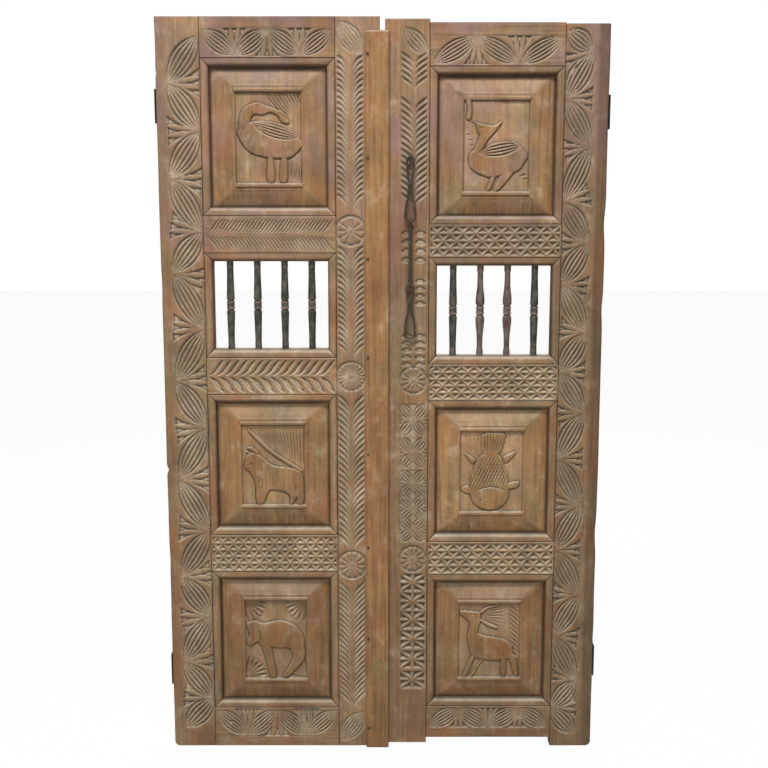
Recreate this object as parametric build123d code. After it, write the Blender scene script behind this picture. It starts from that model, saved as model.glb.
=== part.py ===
from build123d import *
import math
import os

# A pair of carved frame-and-panel door leaves, closed, seen from outside.
# X runs to the right, Y from the front to the back and Z up; every size is in millimetres.

# Both leaves
leaf_width = 593.0
leaf_gap = 14.0
leaf_thickness = 42.0
stile_width = 141.0
moulding_width = 23.0

# Left leaf: heights of its members and openings, from its foot up
left_foot = 0.0
left_bottom_rail = 140.0
left_lower_panel = 361.0
left_lock_rail = 153.0
left_middle_panel = 355.0
left_sill_rail = 148.0
left_grille = 240.0
left_frieze_rail = 145.0
left_upper_panel = 367.0
left_top_rail = 129.0

# Right leaf: its rails start above the feet of its stiles
right_rail_foot = 26.0
right_bottom_rail = 118.0
right_lower_panel = 348.0
right_lock_rail = 142.0
right_middle_panel = 357.0
right_sill_rail = 148.0
right_grille = 246.0
right_frieze_rail = 135.0
right_upper_panel = 368.0
right_top_rail = 135.0
right_meeting_foot = 10.0
right_meeting_rise = 9.0
right_outer_drop = 3.0

# Moulded edge round each opening, measured in from the face
quirk_width = 3.0
quirk_depth = 2.5
fillet_end = 10.0
fillet_sink = 0.8
round_mid_run = 19.0
round_mid_sink = 5.0
round_end_sink = 12.0

# Tongue and groove, tenon and mortise
groove_depth = 12.0
groove_width = 10.0
groove_sink = 18.0
tongue_play = 0.25
tongue_end_play = 1.5
tenon_length = 85.0
tenon_thickness = 13.0
tenon_shoulder = 14.0
tenon_play = 0.2
mortise_end_play = 1.0
peg_side = 8.0
peg_play = 0.1
peg_inset = 34.0
peg_front_cover = 8.0

# Raised and fielded panels
panel_margin = 0.4
bevel_side = 60.0
bevel_head = 48.0
field_sink = 5.0
panel_back_sink = 33.0
picture_inset = 7.0
picture_head_inset = 16.0
picture_depth = 4.0
ledge_height = 11.0
ledge_proud = 2.5
ledge_overhang = 3.0
relief_height = 4.6
relief_root = 0.5

# Turned spindles
spindle_count = 4
spindle_end_inset = 44.5
spindle_tenon_radius = 6.0
spindle_tenon_length = 15.0
socket_play = 0.1
socket_end_play = 0.6
spindle_ring_radius = 9.5
spindle_ring_height = 13.0
spindle_neck_radius = 7.2
spindle_belly_radius = 11.0
spindle_bulb_radius = 12.5
spindle_pinch_radius = 8.5
spindle_bead_radius = 11.5
spindle_belly_drop = 17.0
spindle_pinch_drop = 9.5
spindle_bead_drop = 6.5

# Cover strip over the meeting edges
strip_left_reach = 46.6
strip_lap = 10.6
strip_thickness = 12.0
strip_edge = 3.0
strip_top_drop = 36.0
strip_lap_relief = 0.4
strip_nail_count = 8
strip_nail_inset = 7.0
strip_nail_end = 60.0
strip_nail_length = 27.0
nail_side = 2.8
nail_head_side = 7.0
nail_head_height = 1.2
nail_play = 0.1

# Butt hinges: the flaps are let into the stile's edge
hinge_height = 90.0
hinge_end_distance = 230.0
flap_thickness = 2.5
flap_width = 34.0
flap_gap = 2.0
flap_play = 0.3
knuckle_radius = 5.5
knuckle_stand_off = 7.0
knuckle_play = 0.3
pin_radius = 3.0
pin_play = 0.05
flap_hole_radius = 2.5
flap_hole_spacing = 60.0
hinge_nail_length = 30.0
hinge_nail_head = 0.8

# Iron chain on the right leaf's meeting stile
bar_side = 6.0
bar_edge = 1.4
link_play = 0.8
chain_face_gap = 0.7
chain_from_edge = 67.0
staple_drop = 357.0
staple_leg_length = 40.0
link_1_length = 171.0
link_1_eye_radius = 6.5
link_1_loop_radius = 11.0
link_2_length = 169.0
link_3_length = 146.0
link_3_loop_radius = 11.0
link_neck_radius = 6.3
link_1_neck_share = 0.45
link_3_neck_share = 0.3
link_2_width = 12.0
shank_swell = 0.5
slit_stop = 12.0
slit_radius = 1.0

# Carved bands on the stiles: each starts at the moulding and runs outwards
band_margin = 2.5
left_outer_band = 86.0
right_outer_band = 72.0
left_meeting_band = 74.0
right_meeting_band = 76.0
band_end_drop = 47.0
band_end_rise = 56.0
left_leaf_count = 15
right_leaf_count = 16
rail_margin = 4.0
rail_end_margin = 6.0
top_rail_border = 30.0
bottom_rail_border = 27.0

# Chips
chip_lift = 0.4
chip_depth = 3.0
leaf_girth = 46.0
leaf_veins = 3
leaf_reach = 0.44
leaf_reach_loss = 0.05
leaf_draw = 0.4
vein_fill = 0.36
fan_spread = 9.0
fan_start = 0.36
fan_end = 0.94
fan_chip_width = 10.0
fern_pitch = 22.0
fern_rise = 30.0
fern_rib = 3.0
fern_chip_width = 10.0
rosette_radius = 35.0
rosette_eye = 7.0
rosette_chip_width = 9.0
fine_rosette_chip_width = 7.0
star_radius = 27.0
star_eye = 4.0
star_chip_width = 9.0
cross_leaf_reach = 43.0
cross_leaf_eye = 6.0
cross_leaf_angle = 50.0
cross_leaf_width = 13.0
ladder_chip_width = 8.0
ladder_rib = 2.5

# Meeting stiles: each figure's distance below the stile's top
left_end_leaf = (11.0, 99.0)
left_foot_leaf = (1926.0, 2026.0)
left_ferns = ((104.0, 515.0), (601.0, 918.0), (1008.0, 1456.0), (1545.0, 1923.0))
left_rosettes = (558.0, 1494.0)
left_fine_rosette = 955.0
left_petals = 10
left_fine_petals = 14
right_end_leaf = (23.0, 104.0)
right_ferns = ((104.0, 181.0), (206.0, 486.0))
right_ladders = ((560.0, 632.0, 5, (-1, 1)), (689.0, 749.0, 4, (1,)), (839.0, 921.0, 5, (-1, 1)))
right_rosettes = (960.0, 1470.0)
right_petals = 8
right_cross_leaves = (1072.0, 1165.0, 1253.0, 1322.0, 1386.0)
right_stars = (1540.0, 1596.0, 1651.0, 1709.0, 1769.0, 1830.0)

# Middle rails: counts of chips along and up each rail
frieze_slants = 18
frieze_slant_width = 9.0
sill_slants = 11
sill_slant_width = 13.0
slant_lean = 0.9
lock_rows = 3
right_frieze_rows = 4
right_sill_rows = 5
right_lock_rows = 4
triangle_columns = 9
triangle_fill = 0.8

# Values worked out from the sizes above
half_width = leaf_gap / 2 + leaf_width
eye_radius = bar_side / 2 + link_play
eye_outer = eye_radius + bar_side
eye_middle = eye_radius + bar_side / 2
chain_stand_off = eye_outer + chain_face_gap
front_reach = max(chain_stand_off + eye_outer, strip_thickness + nail_head_height)
back_reach = knuckle_stand_off + knuckle_radius
front_y = (front_reach - leaf_thickness - back_reach) / 2
back_y = front_y + leaf_thickness
groove_y = (front_y + groove_sink, front_y + groove_sink + groove_width)
groove_middle = front_y + groove_sink + groove_width / 2
tenon_y = (groove_middle - tenon_thickness / 2, groove_middle + tenon_thickness / 2)

level_names = (
    "bottom_rail",
    "lower_panel",
    "lock_rail",
    "middle_panel",
    "sill_rail",
    "grille",
    "frieze_rail",
    "upper_panel",
    "top_rail",
)
opening_names = ("lower_panel", "middle_panel", "grille", "upper_panel")


def stack(foot, heights):
    """The lowest and highest Z of each member and opening of a leaf."""
    levels = {}
    for name, height in zip(level_names, heights):
        levels[name] = (foot, foot + height)
        foot += height
    return levels


left_levels = stack(
    left_foot,
    (
        left_bottom_rail,
        left_lower_panel,
        left_lock_rail,
        left_middle_panel,
        left_sill_rail,
        left_grille,
        left_frieze_rail,
        left_upper_panel,
        left_top_rail,
    ),
)
right_levels = stack(
    right_rail_foot,
    (
        right_bottom_rail,
        right_lower_panel,
        right_lock_rail,
        right_middle_panel,
        right_sill_rail,
        right_grille,
        right_frieze_rail,
        right_upper_panel,
        right_top_rail,
    ),
)


def block(x_range, y_range, z_range):
    """A box between two X, two Y and two Z values, given in any order."""
    ranges = [sorted(r) for r in (x_range, y_range, z_range)]
    size = [high - low for low, high in ranges]
    centre = [(high + low) / 2 for low, high in ranges]
    return Pos(*centre) * Box(*size)


def one_solid(shape):
    """The single solid of a shape, so that a node is one piece."""
    solids = shape.solids()
    if len(solids) != 1:
        raise ValueError(f"expected one solid, found {len(solids)}")
    return solids[0]


def polyhedron(points, loops):
    """A solid with flat faces, each given as a loop of point numbers."""
    faces = [Face(Wire.make_polygon([points[i] for i in loop])) for loop in loops]
    return Solid(Shell(faces))


def frustum(low_x, low_z, low_y, high_x, high_z, high_y):
    """A solid between a rectangle at one depth and a smaller one nearer the face."""
    points = []
    for (x0, x1), (z0, z1), y in ((low_x, low_z, low_y), (high_x, high_z, high_y)):
        points += [(x0, y, z0), (x1, y, z0), (x1, y, z1), (x0, y, z1)]
    loops = [(0, 1, 2, 3), (4, 5, 6, 7)]
    loops += [(i, (i + 1) % 4, (i + 1) % 4 + 4, i + 4) for i in range(4)]
    return polyhedron(points, loops)


def moulded_edge(opening, edge, grooved):
    """The moulding along one edge of an opening, mitred at both ends."""
    x0, x1, z0, z1 = opening
    m = moulding_width
    starts = {
        "bottom": ((x0 - m, z0 - m), x1 - x0 + 2 * m, 0),
        "left": ((x0 - m, z1 + m), z1 - z0 + 2 * m, 90),
        "top": ((x1 + m, z1 + m), x1 - x0 + 2 * m, 180),
        "right": ((x1 + m, z0 - m), z1 - z0 + 2 * m, 270),
    }
    (x, z), length, turn = starts[edge]
    section = [
        (0, 0),
        (quirk_width / 2, quirk_depth),
        (quirk_width, fillet_sink),
        (fillet_end, fillet_sink),
        (round_mid_run, round_mid_sink),
        (m, round_end_sink),
    ]
    if grooved:
        section += [
            (m, groove_sink),
            (m - groove_depth, groove_sink),
            (m - groove_depth, groove_sink + groove_width),
            (m, groove_sink + groove_width),
        ]
    section += [(m, leaf_thickness), (0, leaf_thickness)]
    outline = Polyline(*[(0, sink, run) for run, sink in section], close=True)
    run = extrude(make_face(outline), length, dir=(1, 0, 0))
    mitre = Polyline((0, 0, 0), (length, 0, 0), (length - m, 0, m), (m, 0, m), close=True)
    run &= extrude(make_face(mitre), leaf_thickness, dir=(0, 1, 0))
    return Pos(x, front_y, z) * Rot(0, turn, 0) * run


def tenon_span(leaf, rail):
    """The Z range of a rail's tenons."""
    low, high = rail_core(leaf, rail)
    return low + tenon_shoulder, high - tenon_shoulder


def rail_core(leaf, rail):
    """The Z range of a rail between its moulded edges."""
    low, high = leaf["levels"][rail]
    place = level_names.index(rail)
    if place > 0:
        low += moulding_width
    if place < len(level_names) - 1:
        high -= moulding_width
    return low, high


def tenon(leaf, rail, x_start, outward, play, end_play):
    """One tenon, or its mortise when it is given play."""
    low, high = tenon_span(leaf, rail)
    x_end = x_start + outward * (tenon_length + end_play)
    y_range = (tenon_y[0] - play, tenon_y[1] + play)
    return block((x_start, x_end), y_range, (low - play, high + play))


def peg(leaf, rail, x_start, outward, play):
    """The square peg driven from the back through a tenon, or its hole."""
    low, high = tenon_span(leaf, rail)
    half = peg_side / 2 + play
    x = x_start + outward * peg_inset
    z = (low + high) / 2
    y_range = (front_y + peg_front_cover - play, back_y)
    return block((x - half, x + half), y_range, (z - half, z + half))


rail_names = ("bottom_rail", "lock_rail", "sill_rail", "frieze_rail", "top_rail")


def stile(leaf, quirk_x, edge_x, z_range, edge_name):
    """A stile with its moulded edge pieces, mortises and peg holes."""
    outward = math.copysign(1, edge_x - quirk_x)
    body = block((quirk_x, edge_x), (front_y, back_y), z_range)
    for name in opening_names:
        body += moulded_edge(leaf["openings"][name], edge_name, name != "grille")
    cuts = []
    for rail in rail_names:
        cuts.append(tenon(leaf, rail, quirk_x, outward, tenon_play, mortise_end_play))
        cuts.append(peg(leaf, rail, quirk_x, outward, peg_play))
    return body.cut(*cuts)


def rail(leaf, name):
    """A rail with its moulded edges, tenons, peg holes and spindle sockets."""
    low, high = rail_core(leaf, name)
    left_x, right_x = leaf["quirks"]
    body = block((left_x, right_x), (front_y, back_y), (low, high))
    place = level_names.index(name)
    if place > 0:
        below = level_names[place - 1]
        body += moulded_edge(leaf["openings"][below], "top", below != "grille")
    if place < len(level_names) - 1:
        above = level_names[place + 1]
        body += moulded_edge(leaf["openings"][above], "bottom", above != "grille")
    for x, outward in ((left_x, -1), (right_x, 1)):
        body += tenon(leaf, name, x, outward, 0, 0)
        body -= peg(leaf, name, x, outward, peg_play)
    if name == "sill_rail":
        body -= sockets(leaf, leaf["levels"]["grille"][0], -1)
    if name == "frieze_rail":
        body -= sockets(leaf, leaf["levels"]["grille"][1], 1)
    return body


def spindle_places(leaf):
    """The X of each spindle, centred in the opening."""
    x0, x1, _, _ = leaf["openings"]["grille"]
    pitch = (x1 - x0 - 2 * spindle_end_inset) / (spindle_count - 1)
    return [x0 + spindle_end_inset + pitch * i for i in range(spindle_count)]


def sockets(leaf, z, upward):
    """The round sockets that hold the spindles' tenons in one rail."""
    depth = spindle_tenon_length + socket_end_play
    holes = []
    for x in spindle_places(leaf):
        hole = Cylinder(spindle_tenon_radius + socket_play, depth)
        holes.append(Pos(x, groove_middle, z + upward * depth / 2) * hole)
    return holes


def spindle(leaf, x, belly_radius):
    """A turned spindle that swells towards its middle bead, with a round tenon at each end."""
    low, high = leaf["levels"]["grille"]
    middle = (low + high) / 2
    half = [
        (0, low - spindle_tenon_length),
        (spindle_tenon_radius, low - spindle_tenon_length),
        (spindle_tenon_radius, low),
        (spindle_ring_radius, low),
        (spindle_ring_radius, low + spindle_ring_height),
        (spindle_neck_radius, low + spindle_ring_height),
        (belly_radius, middle - spindle_belly_drop),
        (spindle_pinch_radius, middle - spindle_pinch_drop),
        (spindle_bead_radius, middle - spindle_bead_drop),
    ]
    outline = half + [(r, low + high - z) for r, z in reversed(half)]
    profile = make_face(Polyline(*[(r, 0, z) for r, z in outline], close=True))
    return Pos(x, groove_middle, 0) * revolve(profile, Axis.Z)


def panel(leaf, name):
    """A raised and fielded panel with a sunk ground between two ledges, and the ground's foot."""
    x0, x1, z0, z1 = leaf["openings"][name]
    reach = groove_depth - tongue_end_play
    tongue_y = (groove_y[0] + tongue_play, groove_y[1] - tongue_play)
    body = block((x0 - reach, x1 + reach), tongue_y, (z0 - reach, z1 + reach))
    inner_x = (x0 + panel_margin, x1 - panel_margin)
    inner_z = (z0 + panel_margin, z1 - panel_margin)
    body += block(inner_x, (tongue_y[1], front_y + panel_back_sink), inner_z)
    field_x = (x0 + bevel_side, x1 - bevel_side)
    field_z = (z0 + bevel_head, z1 - bevel_head)
    field_y = front_y + field_sink
    body += frustum(inner_x, inner_z, tongue_y[0], field_x, field_z, field_y)
    ground_x = (field_x[0] + picture_inset, field_x[1] - picture_inset)
    ground_z = (field_z[0] + picture_head_inset, field_z[1] - picture_head_inset)
    body -= block(ground_x, (field_y, field_y + picture_depth), ground_z)
    ledge_x = (ground_x[0] - ledge_overhang, ground_x[1] + ledge_overhang)
    ledge_y = (field_y - ledge_proud, field_y)
    for z, upward in ((ground_z[0], -1), (ground_z[1], 1)):
        body += block(ledge_x, ledge_y, (z, z + upward * ledge_height))
    return (sum(ground_x) / 2, ground_z[0]), body


def cover_strip():
    """The strip on the left leaf's meeting edge, lapping over the right leaf."""
    left_x = -strip_left_reach
    right_x = leaf_gap / 2 + strip_lap
    face = front_y - strip_thickness
    section = [
        (left_x, front_y),
        (left_x, face + strip_edge),
        (left_x + strip_edge, face),
        (right_x - strip_edge, face),
        (right_x, face + strip_edge),
        (right_x, front_y - strip_lap_relief),
        (-leaf_gap / 2, front_y - strip_lap_relief),
        (-leaf_gap / 2, front_y),
    ]
    low = left_levels["bottom_rail"][0]
    top = left_levels["top_rail"][1] - strip_top_drop
    outline = Polyline(*[(x, y, low) for x, y in section], close=True)
    return extrude(make_face(outline), top - low, dir=(0, 0, 1))


def strip_nails(play):
    """The square nails along the strip, or their holes when given play."""
    low = left_levels["bottom_rail"][0] + strip_nail_end
    top = left_levels["top_rail"][1] - strip_top_drop - strip_nail_end
    face = front_y - strip_thickness
    x = -strip_left_reach + strip_nail_inset
    half = nail_side / 2 + play
    head = nail_head_side / 2
    nails = []
    for i in range(strip_nail_count):
        z = low + (top - low) * i / (strip_nail_count - 1)
        nail = block((x - half, x + half), (face, face + strip_nail_length + play), (z - half, z + half))
        if not play:
            nail += block((x - head, x + head), (face - nail_head_height, face), (z - head, z + head))
        nails.append(nail)
    return nails


def hinge_heights(side):
    """The middle Z of each hinge on a leaf."""
    levels = left_levels if side < 0 else right_levels
    low = levels["bottom_rail"][0]
    top = levels["top_rail"][1]
    return {"lower": low + hinge_end_distance, "upper": top - hinge_end_distance}


def hinge_axis(side):
    """The X and Y of a leaf's hinge pins."""
    return side * (half_width + flap_gap / 2), back_y + knuckle_stand_off


def knuckle(side, z_range):
    """One hammered eight-sided knuckle, before its bore."""
    x, y = hinge_axis(side)
    low, high = sorted(z_range)
    ring = RegularPolygon(knuckle_radius, 8, major_radius=False, rotation=22.5)
    return Pos(x, y, low) * extrude(ring, high - low)


def pin_bore(side, z):
    """The bore through a hinge's knuckles."""
    x, y = hinge_axis(side)
    return Pos(x, y, z) * Cylinder(pin_radius + pin_play, hinge_height + 2)


def flap(side, z, knuckles, x_face, outward):
    """A flap: its plate and the knuckles rolled on its edge."""
    _, axis_y = hinge_axis(side)
    x_range = (x_face, x_face + outward * flap_thickness)
    half = hinge_height / 2
    plate_back = back_y - flap_play
    body = block(x_range, (plate_back - flap_width, plate_back), (z - half, z + half))
    for low, high in knuckles:
        body += knuckle(side, (z + low, z + high))
        body += block(x_range, (plate_back, axis_y), (z + low, z + high))
    return body - pin_bore(side, z)


def flap_hole_places(z):
    """The Y and the Zs of a flap's two holes."""
    y = back_y - flap_play - flap_width / 2
    return y, (z - flap_hole_spacing / 2, z + flap_hole_spacing / 2)


def leaf_flap(side, z):
    """The flap let into the stile's edge, with the middle knuckle."""
    third = hinge_height / 6
    middle = [(-third + knuckle_play / 2, third - knuckle_play / 2)]
    body = flap(side, z, middle, side * half_width, -side)
    return body.cut(*hinge_nail_shanks(side, z, nail_play))


def jamb_flap(side, z):
    """The flap for the door frame, with the two outer knuckles."""
    third = hinge_height / 6
    half = hinge_height / 2
    outer = [(-half, -third - knuckle_play / 2), (third + knuckle_play / 2, half)]
    x_face = side * (half_width + flap_gap)
    body = flap(side, z, outer, x_face, side)
    y, heights = flap_hole_places(z)
    drill = Rot(0, 90, 0) * Cylinder(flap_hole_radius, 4 * flap_thickness)
    return body.cut(*[Pos(x_face, y, hole_z) * drill for hole_z in heights])


def flap_recess(side, z):
    """The recess in the stile's edge that a leaf flap is let into."""
    x_range = (side * half_width, side * (half_width - flap_thickness - flap_play / 2))
    y_range = (back_y - flap_width - 2 * flap_play, back_y)
    half = hinge_height / 2 + flap_play
    return block(x_range, y_range, (z - half, z + half))


def hinge_nail_shanks(side, z, play):
    """The square shanks of a leaf flap's two nails, or their holes."""
    y, heights = flap_hole_places(z)
    half = nail_side / 2 + play
    x_range = (side * half_width, side * (half_width - hinge_nail_length - play))
    return [block(x_range, (y - half, y + half), (h - half, h + half)) for h in heights]


def hinge_nails(side, z):
    """A leaf flap's two nails with their flat heads."""
    y, heights = flap_hole_places(z)
    head = nail_head_side / 2
    x_range = (side * half_width, side * (half_width + hinge_nail_head))
    nails = []
    for shank, h in zip(hinge_nail_shanks(side, z, 0), heights):
        nails.append(shank + block(x_range, (y - head, y + head), (h - head, h + head)))
    return nails


chain_x = leaf_gap / 2 + chain_from_edge
chain_y = front_y - chain_stand_off
staple_z = right_levels["top_rail"][1] + right_meeting_rise - staple_drop
link_2_z = staple_z - link_1_length
link_3_z = link_2_z - link_2_length


def edged(plate, axis):
    """A forged plate with the edges of its two flat sides hammered back."""
    sides = plate.faces().filter_by(axis).sort_by(axis)
    edges = sides[0].edges() + sides[-1].edges()
    return chamfer(edges, bar_edge)


def tapered(low, low_radius, high, high_radius):
    """The flat outline round two circles, one above the other."""
    circles = [Pos(0, z) * Circle(r) for z, r in ((low, low_radius), (high, high_radius))]
    return make_hull([edge for circle in circles for edge in circle.edges()])


def link(length, top_radius, loop_radius, neck_share):
    """A forged link in the XZ plane, hanging from the middle of its top bar.

    It has an eye at the top, a pinched neck and a loop at the bottom. The middle of its lowest bar is
    length below the middle of its top bar.
    """
    top = -bar_side / 2 - top_radius
    loop = -length + bar_side / 2 + loop_radius
    neck = top + (loop - top) * neck_share
    shape = tapered(neck, link_neck_radius, top, top_radius + bar_side)
    shape += tapered(loop, loop_radius + bar_side, neck, link_neck_radius)
    shape -= tapered(neck + slit_stop, slit_radius, top, top_radius)
    shape -= tapered(loop, loop_radius, neck - slit_stop, slit_radius)
    plate = extrude(Plane.XZ * shape, bar_side / 2, both=True)
    return edged(plate, Axis.Y)


def eyed_link():
    """The middle link: two bars welded side by side with an eye at each end, turned edge on."""
    top = 0
    loop = -link_2_length
    shank_top = top - eye_middle
    shank_low = loop + eye_middle
    body = block(
        (-link_2_width / 2, link_2_width / 2),
        (-bar_side / 2 - shank_swell, bar_side / 2 + shank_swell),
        (shank_low, shank_top),
    )
    body = chamfer(body.edges().filter_by(Axis.Z), bar_edge)
    for z in (top, loop):
        ring = Plane.YZ * (Circle(eye_outer) - Circle(eye_radius))
        body -= Pos(0, 0, z) * Rot(0, 90, 0) * Cylinder(eye_radius + bar_side / 2, 2 * link_2_width)
        body += Pos(0, 0, z) * edged(extrude(ring, bar_side / 2, both=True), Axis.X)
    return body


def staple():
    """The staple: a round crown that the chain hangs in, and two legs driven into the stile."""
    legs = Pos(staple_leg_length / 2, 0) * Rectangle(staple_leg_length, 2 * eye_outer)
    gap = Pos(staple_leg_length / 2, 0) * Rectangle(staple_leg_length, 2 * eye_radius)
    shape = Circle(eye_outer) + legs - Circle(eye_radius) - gap
    return edged(extrude(Plane.YZ * shape, bar_side / 2, both=True), Axis.X)


def staple_holes():
    """The two square holes in the stile for the staple's legs."""
    half = bar_side / 2 + nail_play
    y_range = (front_y, chain_y + staple_leg_length + nail_play)
    x_range = (chain_x - half, chain_x + half)
    return [
        block(x_range, y_range, (staple_z + z - half, staple_z + z + half))
        for z in (-eye_middle, eye_middle)
    ]


ground_y = front_y + field_sink + picture_depth
relief_y = ground_y - relief_height


def chip(corners, deepest, face_y=front_y):
    """A chip cut into a face, with straight sides down from its corners to its deepest point."""
    grow = 1 + chip_lift / chip_depth
    middle_x, middle_z = deepest
    points = [
        (middle_x + (x - middle_x) * grow, face_y - chip_lift, middle_z + (z - middle_z) * grow)
        for x, z in corners
    ]
    points.append((middle_x, face_y + chip_depth, middle_z))
    count = len(corners)
    loops = [tuple(range(count))] + [(i, (i + 1) % count, count) for i in range(count)]
    return polyhedron(points, loops)


def between(start, end, share):
    """The point a share of the way from one point to another."""
    return start[0] + (end[0] - start[0]) * share, start[1] + (end[1] - start[1]) * share


def beside(start, end, run, aside):
    """The point a distance along the line between two points, and a distance to its left."""
    length = math.dist(start, end)
    x, z = (end[0] - start[0]) / length, (end[1] - start[1]) / length
    return start[0] + x * run - z * aside, start[1] + z * run + x * aside


def gouge(tail, tip, width, face_y=front_y):
    """A long chip, widest in its middle and pointed at both ends."""
    half = math.dist(tail, tip) / 2
    corners = [tail, beside(tail, tip, half, -width / 2), tip, beside(tail, tip, half, width / 2)]
    return chip(corners, between(tail, tip, 0.5), face_y)


def rays(centre, angles, start, end, width, face_y=front_y):
    """Gouges that spread from a point, at angles in degrees up from the X direction."""
    gouges = []
    for angle in angles:
        x, z = math.cos(math.radians(angle)), math.sin(math.radians(angle))
        tail = (centre[0] + x * start, centre[1] + z * start)
        tip = (centre[0] + x * end, centre[1] + z * end)
        gouges.append(gouge(tail, tip, width, face_y))
    return gouges


def leaf_of_gouges(tail, tip):
    """A leaf of gouges side by side that bow out from its middle one."""
    length = math.dist(tail, tip)
    pitch = leaf_girth / leaf_veins
    chips = []
    for i in range(leaf_veins):
        place = i - (leaf_veins - 1) / 2
        aside = place * pitch
        reach = length * (leaf_reach - leaf_reach_loss * abs(place))
        fill = pitch * vein_fill
        corners = [
            beside(tail, tip, length / 2 - reach, aside * leaf_draw),
            beside(tail, tip, length / 2, aside - fill),
            beside(tail, tip, length / 2 + reach, aside * leaf_draw),
            beside(tail, tip, length / 2, aside + fill),
        ]
        chips.append(chip(corners, beside(tail, tip, length / 2, aside)))
    return chips


def zigzag(tips):
    """Leaves from tip to tip of a zigzag, with a small fan in the hollow across from each inner tip."""
    chips = []
    for tail, tip in zip(tips, tips[1:]):
        chips += leaf_of_gouges(tail, tip)
    for before, tip, after in zip(tips, tips[1:], tips[2:]):
        far = between(before, after, 0.5)
        angle = math.degrees(math.atan2(far[1] - tip[1], far[0] - tip[0]))
        reach = math.dist(tip, far)
        angles = (angle - fan_spread, angle + fan_spread)
        chips += rays(tip, angles, reach * fan_start, reach * fan_end, fan_chip_width)
    return chips


def fern(middle_x, half_width, low, high):
    """Two rows of gouges that rise outwards from a midrib."""
    count = round((high - low - fern_rise) / fern_pitch)
    pitch = (high - low - fern_rise) / count
    chips = []
    for i in range(count + 1):
        for side in (-1, 1):
            root = (middle_x + side * fern_rib, low + pitch * i)
            tip = (middle_x + side * half_width, low + pitch * i + fern_rise)
            chips.append(gouge(root, tip, fern_chip_width))
    return chips


def rosette(x, z, petals, width):
    """A ring of petals round an eye."""
    angles = [90 + 360 * i / petals for i in range(petals)]
    return rays((x, z), angles, rosette_eye, rosette_radius, width)


def cross_leaf(x, z):
    """Four leaves that cross in an X, with a small chip to each side."""
    angles = [side + turn * cross_leaf_angle for side in (0, 180) for turn in (-1, 1)]
    chips = rays((x, z), angles, cross_leaf_eye, cross_leaf_reach, cross_leaf_width)
    return chips + rays((x, z), (0, 180), star_radius / 2, star_radius, star_chip_width)


def ladder(middle_x, half_width, low, high, rows, sides):
    """Short level gouges, one above the other, in one or two columns."""
    chips = []
    for i in range(rows):
        z = low + (high - low) * (i + 0.5) / rows
        for side in sides:
            start = (middle_x + side * ladder_rib, z)
            chips.append(gouge(start, (middle_x + side * half_width, z), ladder_chip_width))
    return chips


def triangle_rows(x_range, z_range, rows):
    """Rows of three-sided chips, each row set half a chip along from the one below."""
    left, right = x_range
    low, high = z_range
    width = (right - left) / (triangle_columns + 0.5)
    height = (high - low) / rows
    chips = []
    for row in range(rows):
        for column in range(triangle_columns):
            x = left + width * (column + 0.5 + 0.5 * (row % 2))
            z = low + height * (row + 0.5)
            half_x, half_z = width * triangle_fill / 2, height * triangle_fill / 2
            corners = [(x - half_x, z - half_z), (x + half_x, z - half_z), (x, z + half_z)]
            chips.append(chip(corners, (x, z - half_z / 3)))
    return chips


def slant_rows(x_range, z_range, count, width):
    """Two rows of slanting gouges that meet in arrows along the rail."""
    left, right = x_range
    low, high = z_range
    middle = (low + high) / 2
    height = (high - low) / 2 - 2 * ladder_rib
    lean = height * slant_lean
    pitch = (right - left - lean) / (count - 1)
    chips = []
    for i in range(count):
        x = left + pitch * i
        chips.append(gouge((x, middle + ladder_rib), (x + lean, middle + ladder_rib + height), width))
        chips.append(gouge((x + lean, middle - ladder_rib - height), (x, middle - ladder_rib), width))
    return chips


def outer_stile_chips(leaf, quirk_x, z_range):
    """The zigzag of leaves down an outer stile."""
    side = leaf["side"]
    band, count = (left_outer_band, left_leaf_count) if side < 0 else (right_outer_band, right_leaf_count)
    near_x = quirk_x + side * band_margin
    far_x = near_x + side * band
    top = z_range[1] - band_end_drop
    pitch = (top - z_range[0] - band_end_rise) / count
    tips = [(far_x if i % 2 else near_x, top - pitch * i) for i in range(count + 1)]
    return zigzag(tips)


def meeting_stile_chips(leaf, quirk_x, top):
    """The ferns, rosettes and stars down a meeting stile."""
    side = leaf["side"]
    band = left_meeting_band if side < 0 else right_meeting_band
    near_x = quirk_x - side * band_margin
    far_x = near_x - side * band
    left_x, right_x = sorted((near_x, far_x))
    middle_x, half = (left_x + right_x) / 2, band / 2
    if side < 0:
        start, end = left_end_leaf
        chips = leaf_of_gouges((left_x, top - start), (right_x, top - end))
        start, end = left_foot_leaf
        chips += leaf_of_gouges((left_x, top - end), (right_x, top - start))
        for start, end in left_ferns:
            chips += fern(middle_x, half, top - end, top - start)
        for drop in left_rosettes:
            chips += rosette(middle_x, top - drop, left_petals, rosette_chip_width)
        z = top - left_fine_rosette
        return chips + rosette(middle_x, z, left_fine_petals, fine_rosette_chip_width)
    start, end = right_end_leaf
    chips = leaf_of_gouges((left_x, top - start), (right_x, top - end))
    for start, end in right_ferns:
        chips += fern(middle_x, half, top - end, top - start)
    for start, end, rows, sides in right_ladders:
        chips += ladder(middle_x, half, top - end, top - start, rows, sides)
    for drop in right_rosettes:
        chips += rosette(middle_x, top - drop, right_petals, rosette_chip_width)
    for drop in right_cross_leaves:
        chips += cross_leaf(middle_x, top - drop)
    for drop in right_stars:
        chips += rays((middle_x, top - drop), range(0, 360, 45), star_eye, star_radius, star_chip_width)
    return chips


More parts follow.
